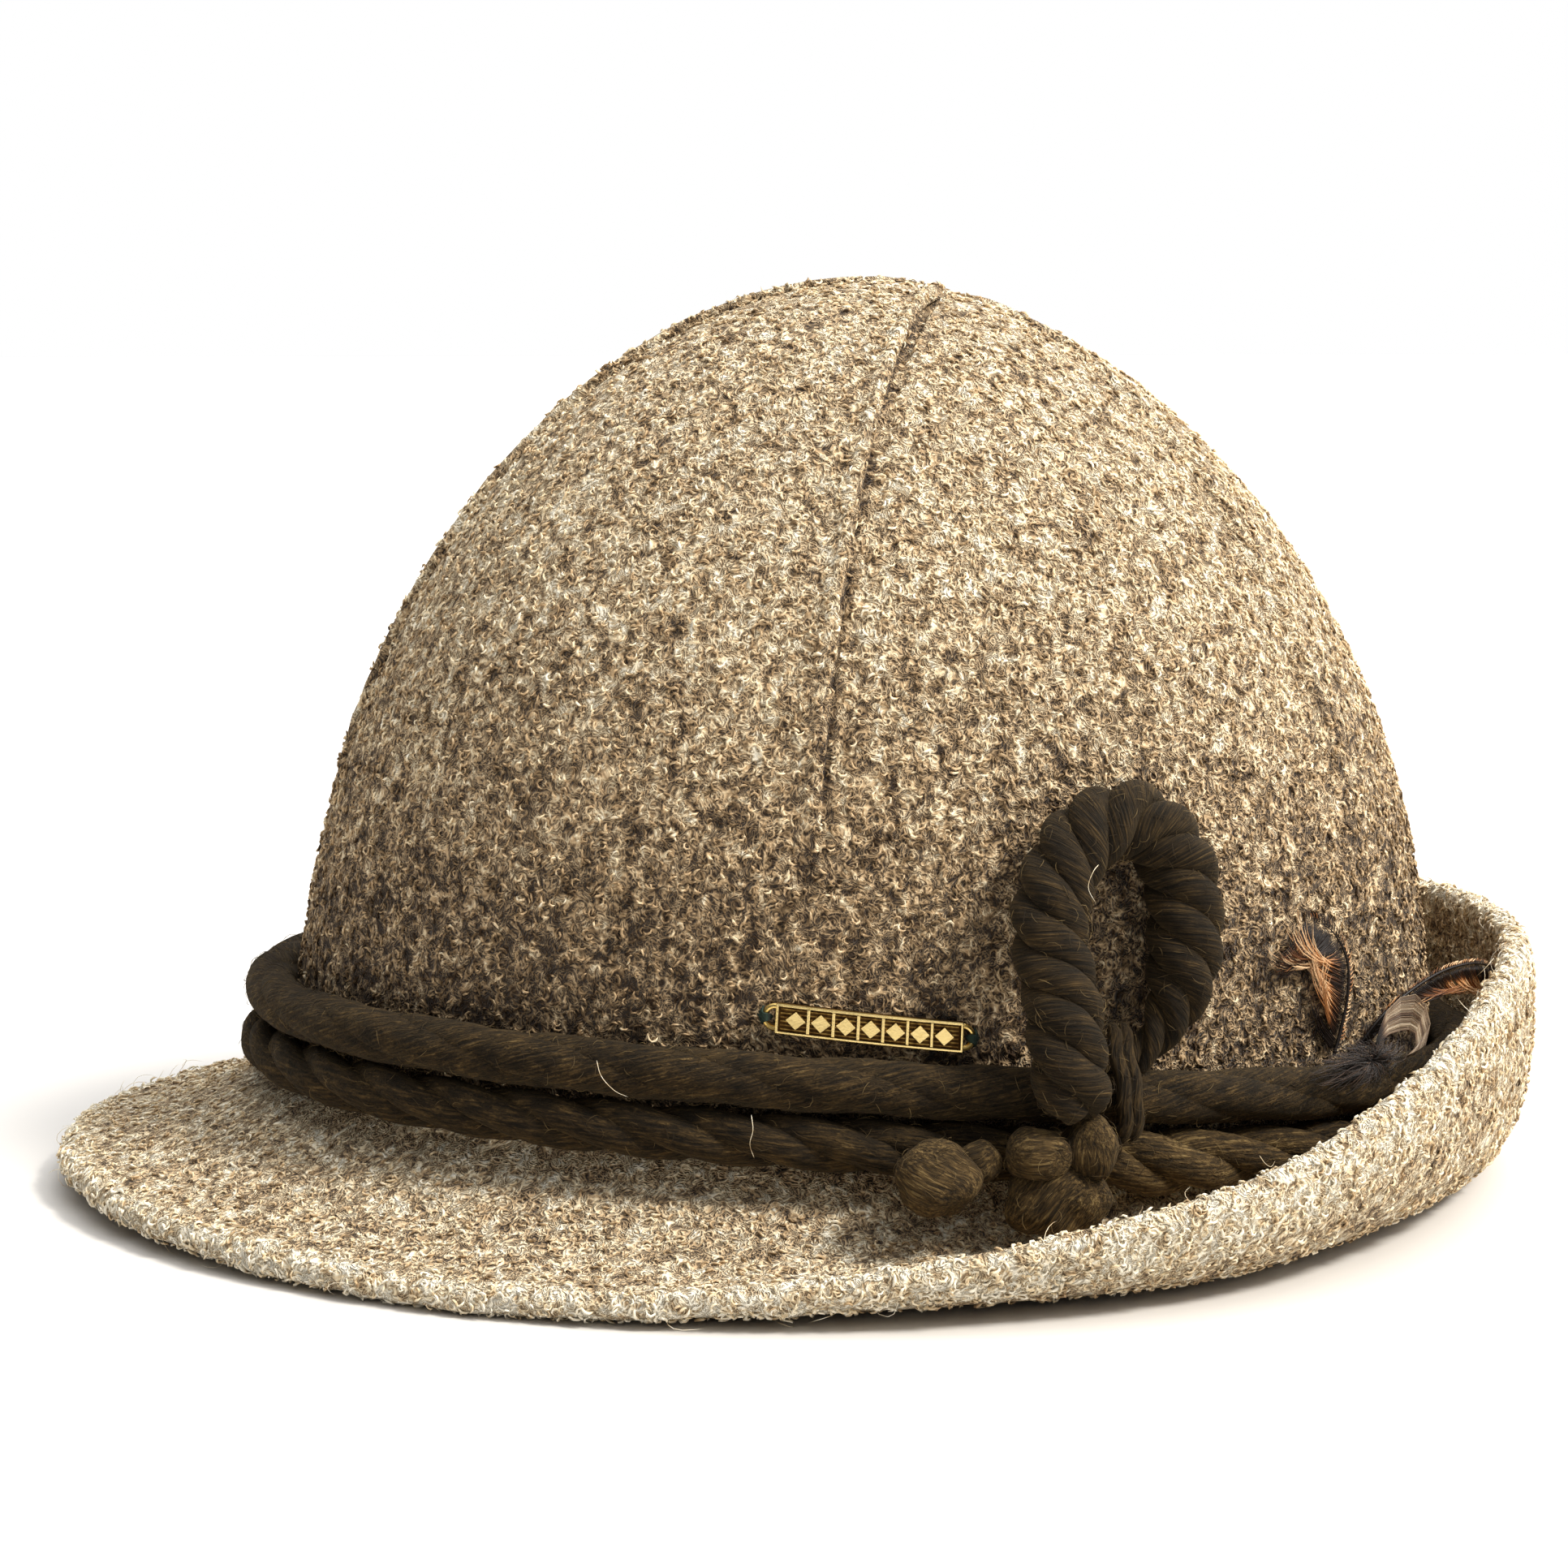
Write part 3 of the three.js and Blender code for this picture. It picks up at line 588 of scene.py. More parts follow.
# This share holds painted light on the knots, painted shade on the loop, and a paler tone round the swell.
worn = add(tree, "ShaderNodeAttribute", attribute_name="worn").outputs["Fac"]
tone = add(tree, "ShaderNodeMath", {0: patches.outputs["Fac"], 1: 0.3, 2: -0.15}, operation="MULTIPLY_ADD")
tone = add(tree, "ShaderNodeMath", {0: worn, 1: 0.13, 2: tone.outputs[0]}, operation="MULTIPLY_ADD")
tone = add(tree, "ShaderNodeMath", {0: fibres.outputs["Fac"], 1: tone.outputs[0]}, operation="ADD")
tree.links.new(ramp(tree, tone.outputs[0], ROVING_STOPS), shader.inputs["Base Color"])
bump = add(tree, "ShaderNodeBump", {"Height": fibres.outputs["Fac"], "Strength": 0.8, "Distance": 0.8 * MM})
tree.links.new(bump.outputs["Normal"], shader.inputs["Normal"])
shader.inputs["Roughness"].default_value = 0.9
shader.inputs["Specular IOR Level"].default_value = 0.2
shader.inputs["Sheen Weight"].default_value = 0.12
shader.inputs["Sheen Tint"].default_value = linear("#b39a6c")
print("finish:", wool_roving.name)

# %% [markdown]
# ## The band: two turns of cord
# Each turn is three strands laid together. A tube with a grooved bump would look drilled, so
# the strands are real ones that wind round the cord's middle line. The upper cord is pulled
# tight and its strands hardly show. The lower one is puffier and swells beside the knot.

# %% Band cords
SWELL, SWELL_AT, SWELL_SPREAD = 0.22, 109, 8
PALE_SPREAD = 14             # degrees: the yarn is paler round the swell
UPPER_LAY = 74 * MM          # length in which a strand goes once round the cord
LOWER_LAY = 44 * MM
BAND_START, BAND_STEPS = 205, 420


def band_line(is_upper, degrees):
    """Middle and radius of a turn of the band."""
    swell = 0 if is_upper else SWELL * math.exp(-((degrees - SWELL_AT) / SWELL_SPREAD) ** 2)
    radius = CORD / 2 * (1 + swell)
    crease = seat(degrees) + CORD
    height = crease + GAP + radius if is_upper else crease - radius
    return beside(degrees, height, GAP + radius), radius


def band_cord(name, is_upper, lay, depth, node):
    """One turn of three closed strands. depth is how far a strand stands from the middle."""
    girth = math.tau * (HALF_LENGTH + HALF_WIDTH + CORD) / 2
    turns = round(girth / lay * 3) / 3
    # With a whole number of turns each strand meets itself, and otherwise one strand goes round thrice.
    rounds, strands = (1, 3) if abs(turns - round(turns)) < 0.01 else (3, 1)
    bm = bmesh.new()
    for number in range(strands):
        line, outs, sizes = [], [], []
        for step in range(BAND_STEPS * rounds):
            degrees = (BAND_START + 360 * step / BAND_STEPS) % 360
            middle, radius = band_line(is_upper, degrees)
            turn = -math.tau * (turns * step / BAND_STEPS + number / 3)
            out = outward(degrees) * math.cos(turn) + UP * math.sin(turn)
            puff = 1 + 0.07 * noise.noise(middle / (6 * MM) + out)
            line.append(middle + out * radius * depth)
            outs.append(out)
            sizes.append(radius * (1 - depth) * puff)
        ring = [line[-1]] + line + [line[0]]
        axes = turned_axes(ring, lambda i: outs[(i - 1) % len(outs)], lambda i: sizes[(i - 1) % len(sizes)])
        sweep(bm, line, axes[1:-1], 12, closed=True, twist=-1 / (30 * MM))
    piece = shown(name, yarn_mesh(name, bm), wool_roving)
    add_share(piece.data, "worn", [
        0.0 if is_upper else math.exp(-((round_the_crown(vertex.co) - SWELL_AT) / PALE_SPREAD) ** 2)
        for vertex in piece.data.vertices])
    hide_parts(node)
    print(name, "turns", round(turns, 2), "faces", len(piece.data.polygons))
    return piece


upper_cord = band_cord("upper_roving", True, UPPER_LAY, 0.22, "upper_cord")
lower_cord = band_cord("lower_roving", False, LOWER_LAY, 0.4, "lower_cord")

# %% [markdown]
# ## The loop and its tie
# The loop is the same yarn twisted hard, so its three strands stand out as bulges about 6 mm
# apart. It starts on the band beside the knot, goes up, bends over and comes down behind its
# own foot, where a loose strand ties it down over both cords.

# %% Loop
LOOP_AT = 103.5              # direction of the loop's middle
LOOP_HALF = 13 * MM          # half the way between the middles of its legs
LOOP_HEIGHT = 39.5 * MM
LOOP_RADIUS = 6.15 * MM
LOOP_LAY = 19.5 * MM
LOOP_STRAND = 0.51           # a strand's radius and its way from the middle, as shares of the loop's
LOOP_PAINTED_SHADE = -0.3             # painted shade: the loop's yarn is painted darker than the band's
LOOP_STEPS, LOOP_FULL, LOOP_THINS = 260, 12, 205
# Shares of the half way along, of the height above the band, and of the cord's thickness out.
LOOP_ROUTE = [
    (-0.84, -0.13, 1.07), (-0.86, -0.03, 1.07), (-0.92, 0.1, 1.05), (-0.93, 0.28, 0.8),
    (-1.0, 0.58, 0.4), (-0.68, 0.83, 0.15), (-0.26, 0.95, 0.05), (0.36, 0.99, 0.04),
    (0.82, 0.82, 0.04), (0.84, 0.53, 0.05), (0.7, 0.3, 0.06), (0.4, 0.125, 0.04), (0.14, 0.02, 0.0)]


def loop_point(along, up, out):
    """A point of the loop's middle line."""
    degrees = degrees_along(LOOP_AT, along * LOOP_HALF)
    return beside(degrees, seat(degrees) + BAND_TOP + up * LOOP_HEIGHT, GAP + LOOP_RADIUS + out * CORD)


route = smooth_line([loop_point(*row) for row in LOOP_ROUTE], LOOP_STEPS)
step_length = (route[1] - route[0]).length
ends = [(0.7 + 0.3 * smooth_step(index, 0, LOOP_FULL))
        * (1 - 0.62 * smooth_step(index, LOOP_THINS, LOOP_STEPS - 1)) for index in range(LOOP_STEPS)]
bm = bmesh.new()
for number in range(3):
    line, outs, sizes = [], [], []
    frame_out = outward(LOOP_AT)
    for index, middle in enumerate(route):
        ahead = (route[min(index + 1, LOOP_STEPS - 1)] - route[max(index - 1, 0)]).normalized()
        frame_out = (frame_out - ahead * frame_out.dot(ahead)).normalized()
        side = ahead.cross(frame_out)
        turn = -math.tau * (index * step_length / LOOP_LAY + number / 3)
        out = frame_out * math.cos(turn) + side * math.sin(turn)
        puff = 1 + 0.08 * noise.noise(middle / (5 * MM) + out)
        line.append(middle + out * LOOP_RADIUS * LOOP_STRAND * ends[index])
        outs.append(out)
        sizes.append(LOOP_RADIUS * LOOP_STRAND * ends[index] * puff)
    sweep(bm, line, turned_axes(line, lambda i: outs[i], lambda i: sizes[i]), 16, twist=-1 / (24 * MM))
loop_cord = shown("loop_roving", yarn_mesh("loop_roving", bm), wool_roving)
# Painted shade: the loop's yarn is painted darker.
add_share(loop_cord.data, "worn", [LOOP_PAINTED_SHADE] * len(loop_cord.data.vertices))
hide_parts("loop_cord")
loop_length = (LOOP_STEPS - 1) * step_length
print("loop:", round(loop_length / MM), "mm of cord,", len(loop_cord.data.polygons), "faces")

# %% Tie
TIE_WIDTH, TIE_THICK = 4.2 * MM, 2.4 * MM
TIE_STEPS = 40
TIE_ROUTE = [(0.19, 0.42), (0.1, 0.62), (-0.02, 1.02), (-0.16, 1.1), (-0.27, 1.06)]
tie_at = degrees_along(LOOP_AT, -0.52 * MM)
tie_foot = seat(tie_at) + BAND_TOP
tie = smooth_line([beside(tie_at, tie_foot + up * LOOP_HEIGHT, GAP + TIE_THICK / 2 + out * CORD)
                   for up, out in TIE_ROUTE], TIE_STEPS)
tie = [point + heading(tie_at + 90) * noise.noise(Vector((index / 9, 0, 3))) * 1.2 * MM
       for index, point in enumerate(tie)]


def rounded_ends(count, tip=0.25, share=0.12):
    """Sizes that shrink toward both ends of a line."""
    fade = count * share
    return [tip + (1 - tip) * math.sin(math.pi / 2 * min(1, index / fade, (count - 1 - index) / fade))
            for index in range(count)]


sizes = rounded_ends(TIE_STEPS)
bm = bmesh.new()
for shift in (-1, 1):
    half = [point + heading(tie_at + 90) * shift * TIE_WIDTH * 0.22 for point in tie]
    sweep(bm, half, turned_axes(half, heading(tie_at + 90), lambda i: TIE_WIDTH * 0.3 * sizes[i],
                                lambda i: TIE_THICK / 2 * sizes[i]), 12, twist=1 / (40 * MM))
loop_tie = shown("tie_roving", yarn_mesh("tie_roving", bm), wool_roving)
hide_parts("loop_tie")
print("tie:", len(loop_tie.data.polygons), "faces")

# %% [markdown]
# ## The knots
# A knot in soft roving shows as a few round lobes, each a short piece of cord bent out of the
# tangle. The fibres run from one side of a lobe to the other, so each lobe is a sweep along
# its own axis, with a size that grows and shrinks like a ball's.

# %% Knots
KNOT_AT = 95.5
KNOT_LOBE = 11 * MM
BALL = 12.4 * MM
BESIDE_CORD = 2 * GAP + CORD
SMALL_LUMP, BIG_LUMP = 2.5 * MM, 5 * MM
LOBE_STEPS = 28
KNOT_PAINTED_LIGHT = 0.8              # painted light: the knots' yarn is painted paler


def knot_place(length):
    """A direction beside the knot's middle."""
    return degrees_along(KNOT_AT, length, BESIDE_CORD + KNOT_LOBE / 2)


def lobe(bm, degrees, height, wide, tall, deep, lean):
    """A puffy lobe. lean turns its fibres, in degrees from level."""
    middle = beside(degrees, height, BESIDE_CORD + deep)
    across = Vector((-outward(degrees).y, outward(degrees).x, 0))
    form = Matrix((across * wide, outward(degrees) * deep, UP * tall)).transposed()
    turn = math.radians(lean)
    axis = Vector((math.cos(turn), 0.35, math.sin(turn))).normalized()
    side = Vector((0, 1, 0)) - axis * axis.y
    side.normalize()
    other = axis.cross(side)
    line, axes = [], []
    for step in range(LOBE_STEPS + 1):
        turn = math.pi * (0.02 + 0.96 * step / LOBE_STEPS)
        puff = 1 + 0.05 * noise.noise(Vector((step / 5, lean, 0)))
        line.append(middle + form @ (axis * -math.cos(turn)))
        axes.append((form @ (side * math.sin(turn) * puff), form @ (other * math.sin(turn) * puff)))
    sweep(bm, line, axes, LOBE_STEPS, twist=1 / (60 * MM))


def knot(name, lobes, node):
    """Several lobes as one piece."""
    bm = bmesh.new()
    for row in lobes:
        lobe(bm, *row)
    bm.normal_update()
    places = [(vert, vert.co.copy(), vert.normal.copy()) for vert in bm.verts]
    for vert, place, normal in places:
        lump = noise.noise(place / SMALL_LUMP) * 0.3 + noise.noise(place / BIG_LUMP) * 1.2
        vert.co = place + normal * lump * MM
    piece = shown(name, yarn_mesh(name, bm), wool_roving)
    # Painted light: the knots' yarn is painted paler.
    add_share(piece.data, "worn", [KNOT_PAINTED_LIGHT] * len(piece.data.vertices))
    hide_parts(node)
    print(name, len(piece.data.polygons), "faces")
    return piece


centre_lobes = []
for along, up, wide, tall, lean in (
        (0, -0.02, 1.5, 1.15, 20), (0.4, 0.72, 0.86, 0.95, 70), (-0.36, 0.62, 0.86, 0.78, -25)):
    at = knot_place(along * KNOT_LOBE)
    half = KNOT_LOBE / 2
    centre_lobes.append((at, seat(at) + up * KNOT_LOBE, wide * half, tall * half, half, lean))
knot_centre = knot("knot_centre_roving", centre_lobes, "knot_centre")

neck_reach = BALL * 0.27
neck_middle = -KNOT_LOBE * 0.79 - 1.4 * MM - neck_reach
neck_at, ball_at = knot_place(neck_middle), knot_place(neck_middle - BALL * 0.58)
knot_left = knot("knot_left_roving", [
    (ball_at, seat(ball_at) + BALL * 0.2, BALL * 0.54, BALL * 0.46, BALL / 2, -60),
    (neck_at, seat(neck_at) + BALL * 0.42, neck_reach, BALL * 0.25, BALL * 0.3, 10)], "knot_left")

# %% [markdown]
# ## The brass bar
# A small cast bar is sewn over the felt. Its raised parts are polished by wear, its ground is
# brown with old polish, and fine ribs run along it. It is made flat, from a box whose face is
# inset and sunk, and then laid on the crown. The raised figures are plain lozenges.

# %% Brass finish
aged_brass, tree, shader = finish("cast_brass_polished_by_wear")
height = add(tree, "ShaderNodeAttribute", attribute_name="raised").outputs["Fac"]
place = add(tree, "ShaderNodeTexCoord").outputs["Object"]
grime = add(tree, "ShaderNodeTexNoise", {"Vector": place, "Scale": per_metre(0.8), "Detail": 3.0})
worn = add(tree, "ShaderNodeMath", {0: grime.outputs["Fac"], 1: 0.45, 2: -0.22}, operation="MULTIPLY_ADD")
worn = add(tree, "ShaderNodeMath", {0: worn.outputs[0], 1: height}, operation="ADD")
tree.links.new(ramp(tree, worn.outputs[0], [
    (0.12, "#33210f"), (0.45, "#6d4f28"), (0.75, "#d9b765"), (1.0, "#f7dc97")]), shader.inputs["Base Color"])
gloss = add(tree, "ShaderNodeMapRange", {"Value": worn.outputs[0], "From Min": 0.1, "From Max": 0.9,
                                         "To Min": 0.62, "To Max": 0.24})
tree.links.new(gloss.outputs["Result"], shader.inputs["Roughness"])
scratches = add(tree, "ShaderNodeTexNoise", {"Vector": place, "Scale": per_metre(0.35), "Detail": 2.0})
bump = add(tree, "ShaderNodeBump", {
    "Height": scratches.outputs["Fac"], "Strength": 0.12, "Distance": 0.1 * MM})
tree.links.new(bump.outputs["Normal"], shader.inputs["Normal"])
shader.inputs["Metallic"].default_value = 1.0
print("finish:", aged_brass.name)

# %% Bar
BADGE_AT = 77.3
BADGE_LENGTH, BADGE_HEIGHT, BADGE_THICK, BADGE_RELIEF = 29.4 * MM, 4.8 * MM, 1.0 * MM, 0.5 * MM
BADGE_RIM = 0.5 * MM
BADGE_RING, BADGE_WIRE = 4.4 * MM, 0.9 * MM
BADGE_HEIGHT_ABOVE = 3.9 * MM   # middle of the bar above the upper cord
BADGE_FALL = 0.115
LOZENGES, RIBS = 7, 6
RIB_PITCH = 0.62 * MM


def on_the_crown(flat):
    """Lays a point of the flat bar on the felt: x runs to the back, y up, z out."""
    height = seat(BADGE_AT) + BAND_TOP + BADGE_HEIGHT_ABOVE + flat.y - BADGE_FALL * flat.x
    return beside(degrees_along(BADGE_AT, flat.x), height, GAP + flat.z)


def block(bm, middle, size, bevel):
    """A small box with softened edges."""
    verts = bmesh.ops.create_cube(bm, size=1.0)["verts"]
    bmesh.ops.scale(bm, verts=verts, vec=size)
    bmesh.ops.translate(bm, verts=verts, vec=middle)
    bmesh.ops.bevel(bm, geom=edges_of(verts), offset=bevel, segments=2, profile=0.5,
                    affect="EDGES", material=-1)


bm = bmesh.new()
face_height = BADGE_THICK + BADGE_RELIEF
verts = bmesh.ops.create_cube(bm, size=1.0)["verts"]
bmesh.ops.scale(bm, verts=verts, vec=(BADGE_LENGTH, BADGE_HEIGHT, face_height))
bmesh.ops.translate(bm, verts=verts, vec=(0, 0, face_height / 2))
bmesh.ops.bevel(bm, geom=bm.edges[:], offset=0.18 * MM, segments=2, profile=0.5,
                affect="EDGES", material=-1)
front = max(bm.faces, key=lambda face: face.calc_center_median().z + face.calc_area())
bmesh.ops.inset_region(bm, faces=[front], thickness=BADGE_RIM - 0.15 * MM, depth=0)
bmesh.ops.inset_region(bm, faces=[front], thickness=0.12 * MM, depth=-BADGE_RELIEF)
pitch = BADGE_LENGTH * 0.92 / LOZENGES
for rib in range(RIBS):
    block(bm, (0, (rib - (RIBS - 1) / 2) * RIB_PITCH, BADGE_THICK),
          (BADGE_LENGTH * 0.95, 0.24 * MM, 0.3 * MM), 0.06 * MM)
for number in range(LOZENGES):
    x = (number - (LOZENGES - 1) / 2) * pitch
    cone = bmesh.ops.create_cone(bm, cap_ends=True, segments=4, radius1=pitch * 0.47,
                                 radius2=pitch * 0.39, depth=BADGE_RELIEF * 1.6)["verts"]
    bmesh.ops.scale(bm, verts=cone, vec=(1, 0.92, 1))
    bmesh.ops.translate(bm, verts=cone, vec=(x, 0, BADGE_THICK + BADGE_RELIEF * 0.35))
    if number:
        block(bm, (x - pitch / 2, 0, BADGE_THICK + BADGE_RELIEF * 0.4),
              (0.5 * MM, BADGE_HEIGHT * 0.8, BADGE_RELIEF), 0.1 * MM)
lengthwise = [edge for edge in bm.edges
              if abs(edge.verts[0].co.x - edge.verts[1].co.x) > BADGE_LENGTH / 2]
bmesh.ops.subdivide_edges(bm, edges=lengthwise, cuts=12, use_grid_fill=True)
bmesh.ops.triangulate(bm, faces=[face for face in bm.faces if len(face.verts) > 4])
for side in (-1, 1):
    ring = bmesh.ops.create_circle(bm, segments=10, radius=BADGE_WIRE / 2)["verts"]
    bmesh.ops.rotate(bm, verts=ring, matrix=Matrix.Rotation(math.pi / 2, 3, "X"))
    middle = Vector((side * BADGE_LENGTH / 2, 0, BADGE_WIRE / 2))
    bmesh.ops.translate(bm, verts=ring, vec=middle + Vector(((BADGE_RING - BADGE_WIRE) / 2, 0, 0)))
    bmesh.ops.spin(bm, geom=ring + edges_of(ring), cent=middle, axis=(0, 0, 1), angle=math.tau,
                   steps=32, use_merge=True)
raised = bm.verts.layers.float.new("raised")
for vert in bm.verts:
    level = (vert.co.z - BADGE_THICK + 0.1 * MM) / BADGE_RELIEF
    vert[raised] = min(max(level, 0.0), 1.0) if abs(vert.co.x) < BADGE_LENGTH / 2 - 0.1 * MM else 0.8
    vert.co = on_the_crown(vert.co)
bmesh.ops.remove_doubles(bm, verts=bm.verts, dist=0.005 * MM)
bmesh.ops.recalc_face_normals(bm, faces=bm.faces)
badge = shown("brass_bar", mesh_from("brass_bar", bm), aged_brass)
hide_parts("badge")
print("brass bar:", len(badge.data.polygons), "faces")

# %% [markdown]
# ### The thread that holds the bar
# A dark green thread goes through each end ring into the felt. A few loops of a thin sweep
# over the ring's wire show it.

# %% Thread
THREAD = 0.36 * MM
# Spun cotton: dull, with fine plies that show as slanting lines.
green_thread, tree, shader = finish("spun_cotton_thread")
strand = add(tree, "ShaderNodeAttribute", attribute_name="strand").outputs["Vector"]
laid = add(tree, "ShaderNodeMapping", {
    "Vector": strand, "Scale": (per_metre(0.8), per_metre(0.2), per_metre(0.2))})
plies = add(tree, "ShaderNodeTexNoise", {"Vector": laid.outputs["Vector"], "Scale": 1.0, "Detail": 2.0})
colour = ramp(tree, plies.outputs["Fac"], [(0.35, "#060d08"), (0.65, "#1c3324")])
tree.links.new(colour, shader.inputs["Base Color"])
shader.inputs["Roughness"].default_value = 0.85
bm = bmesh.new()
for side in (-1, 1):
    for number in range(7):
        lean = (number - 3) / 3
        points = [(side * (BADGE_LENGTH / 2 + x * MM), y * MM, z * MM) for x, y, z in (
            (0.4 + 0.3 * abs(lean), 0.2 * lean, 0.1), (1.0, 0.4 * lean, 1.0),
            (1.8 + 0.2 * lean, 0.6 * lean, 1.35),
            (2.5 - 0.4 * abs(lean), 1.0 * lean, 0.9), (2.9 - 0.9 * abs(lean), 1.5 * lean, -0.3))]
        line = smooth_line([on_the_crown(Vector(point)) for point in points], 14)
        sweep(bm, line, turned_axes(line, UP, THREAD / 2), 6, twist=1 / (1.5 * MM))
thread = shown("badge_thread", yarn_mesh("badge_thread", bm), green_thread)
print("thread:", len(thread.data.polygons), "faces")

# %% [markdown]
# ## The feathers
# Both are rooster body feathers: a dark quill with a broad row of barbs on one side, black and
# rust by turns, that have parted into locks. A blade with a striped picture would have a
# straight edge, so each barb is a thin tapered strand of its own.

# %% Feather finish
# Keratin barbs: silky, so light draws a line along them. barb is (along the quill, along
# the barb, how rusty it is).
feather_barbs, tree, shader = finish("rooster_feather_barbs")
where = add(tree, "ShaderNodeSeparateXYZ", {"Vector": add(
    tree, "ShaderNodeAttribute", attribute_name="barb").outputs["Vector"]})
bands = add(tree, "ShaderNodeMath", {
    0: where.outputs["Y"], 1: 0.3, 2: where.outputs["Z"]}, operation="MULTIPLY_ADD")
colour = ramp(tree, bands.outputs[0], [
    (0.1, "#160d08"), (0.38, "#38200f"), (0.54, "#824f29"), (0.72, "#c08550"), (1.0, "#ecc79a")])
tree.links.new(colour, shader.inputs["Base Color"])
shader.inputs["Roughness"].default_value = 0.5
shader.inputs["Specular IOR Level"].default_value = 0.3
print("finish:", feather_barbs.name)

# %% Feathers
FEATHER_AT = 134
VANE = 9 * MM
VANE_THICK = 0.9 * MM
QUILL_STEPS = 60
BARBS_IN_A_LOCK = 9
QUILL = 0.7 * MM
# Shares of the feather's size along the crown and up, of a cord's thickness out, the width of
# the vane, and how rusty its barbs are there.
FRONT_QUILL = [
    (0.0, 0.0, 0.02, 0.8, 0.05), (0.09, 0.22, 0.03, 1.4, 0.45), (0.16, 0.44, 0.05, 1.7, 0.75),
    (0.16, 0.68, 0.08, 1.7, 0.5), (0.0, 0.9, 0.1, 1.3, 0.15), (-0.3, 1.0, 0.12, 0.8, 0.1)]
BACK_QUILL = [
    (0.0, 0.006, 0.4, 0.3, 0.15), (0.12, 0.14, 0.62, 0.8, 0.3), (0.32, 0.24, 0.88, 1.2, 0.5),
    (0.55, 0.26, 1.05, 1.35, 0.6), (0.78, 0.21, 1.2, 1.2, 0.7), (1.0, 0.12, 1.3, 0.8, 0.65)]


def table_at(rows, share):
    """A row of numbers read between the rows of a table."""
    place = min(share * (len(rows) - 1), len(rows) - 1.001)
    low = int(place)
    blend = smooth_step(place - low, 0, 1) * 0.5 + (place - low) * 0.5
    return [a + (b - a) * blend for a, b in zip(rows[low], rows[low + 1])]


def feather(name, rows, size, side, barbs, slant, node, seed):
    """A quill with its barbs. side says which way the vane lies, and slant how far its barbs
    lean toward the tip."""
    dice = random.Random(seed)
    bm = bmesh.new()
    barb = bm.verts.layers.float_vector.new("barb")
    points = []
    for along, up, out, _, _ in rows:
        degrees = degrees_along(FEATHER_AT, along * size)
        height = seat(degrees) + BAND_TOP + up * size
        points.append(beside(degrees, height, GAP + VANE_THICK / 2 + out * CORD))
    quill = smooth_line(points, QUILL_STEPS)
    sweep(bm, quill, turned_axes(quill, UP, lambda i: QUILL / 2 * (1.05 - i / QUILL_STEPS)), 6)
    lock_lift, lock_tone = 0.0, 0.0
    for number in range(barbs):
        share = 0.03 + 0.95 * number / barbs
        if number % BARBS_IN_A_LOCK == 0:
            lock_lift, lock_tone = dice.uniform(-1, 1), dice.choice((-0.3, -0.12, 0.1, 0.22))
        *_, wide, rust = table_at(rows, share)
        last = QUILL_STEPS - 1
        place = share * last
        foot = quill[int(place)].lerp(quill[min(int(place) + 1, last)], place % 1)
        ahead = (quill[min(int(place) + 2, last)] - quill[max(int(place) - 1, 0)]).normalized()
        face = outward(round_the_crown(foot))
        across = ahead.cross(face).normalized() * side
        for way, reach in ((1, wide), (-1, 0.16)):
            if way < 0 and number % 3:
                continue
            length = VANE * reach * dice.uniform(0.82, 1.08)
            lean = slant + 0.18 * lock_lift + dice.uniform(-0.07, 0.07)
            curl = dice.uniform(-0.1, 0.1) + 0.12 * lock_lift
            line = []
            for step in range(7):
                t = step / 6
                aside = math.sin(math.pi / 2 * t * 0.9) * min(1, 0.8 / slant)
                line.append(foot + across * way * length * aside
                            + ahead * length * lean * t * (0.5 + 0.5 * t)
                            + face * length * (curl * t * t + 0.05 * lock_lift * t))
            start = len(bm.verts)
            sweep(bm, line, turned_axes(line, face, lambda i: 0.09 * MM * (1.15 - i / 7),
                                        lambda i: 0.17 * MM * (1.15 - i / 7)), 4)
            bm.verts.ensure_lookup_table()
            tone = rust + lock_tone + dice.uniform(-0.12, 0.12)
            for vert in bm.verts[start:]:
                vert[barb] = (share, min((vert.co - foot).length / max(length, 1e-6), 1.0), tone)
    piece = shown(name, yarn_mesh(name, bm), feather_barbs)
    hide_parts(node)
    length = (quill[1] - quill[0]).length * (QUILL_STEPS - 1)
    print(name, len(piece.data.polygons), "faces,", round(length / MM), "mm of quill")
    return piece


feather("front_feather_barbs", FRONT_QUILL, 23.5 * MM, -1, 130, 0.7, "feather_front", 4)
feather("back_feather_barbs", BACK_QUILL, 54 * MM, 1, 220, 1.3, "feather_back", 7)

# %% [markdown]
# ### The down at the feathers' foot
# Down has no quill worth seeing: many fine soft barbs spread from one point and curl. Dark
# brown ones make the tuft that lies on the upper cord. A fan of pale grey ones stands above
# it and bends round like a shell.

# %% Down finish
# Down: soft and matt, with a faint glow at its rim. The third number of barb is its tone.
down_barbs, tree, shader = finish("soft_down")
where = add(tree, "ShaderNodeSeparateXYZ", {"Vector": add(
    tree, "ShaderNodeAttribute", attribute_name="barb").outputs["Vector"]})
colour = ramp(tree, where.outputs["Z"], [
    (0.0, "#120c08"), (0.35, "#2c1c12"), (0.6, "#6e4f35"), (0.8, "#b09878"), (1.0, "#ece0c8")])
tree.links.new(colour, shader.inputs["Base Color"])
shader.inputs["Roughness"].default_value = 0.7
shader.inputs["Sheen Weight"].default_value = 0.2
print("finish:", down_barbs.name)

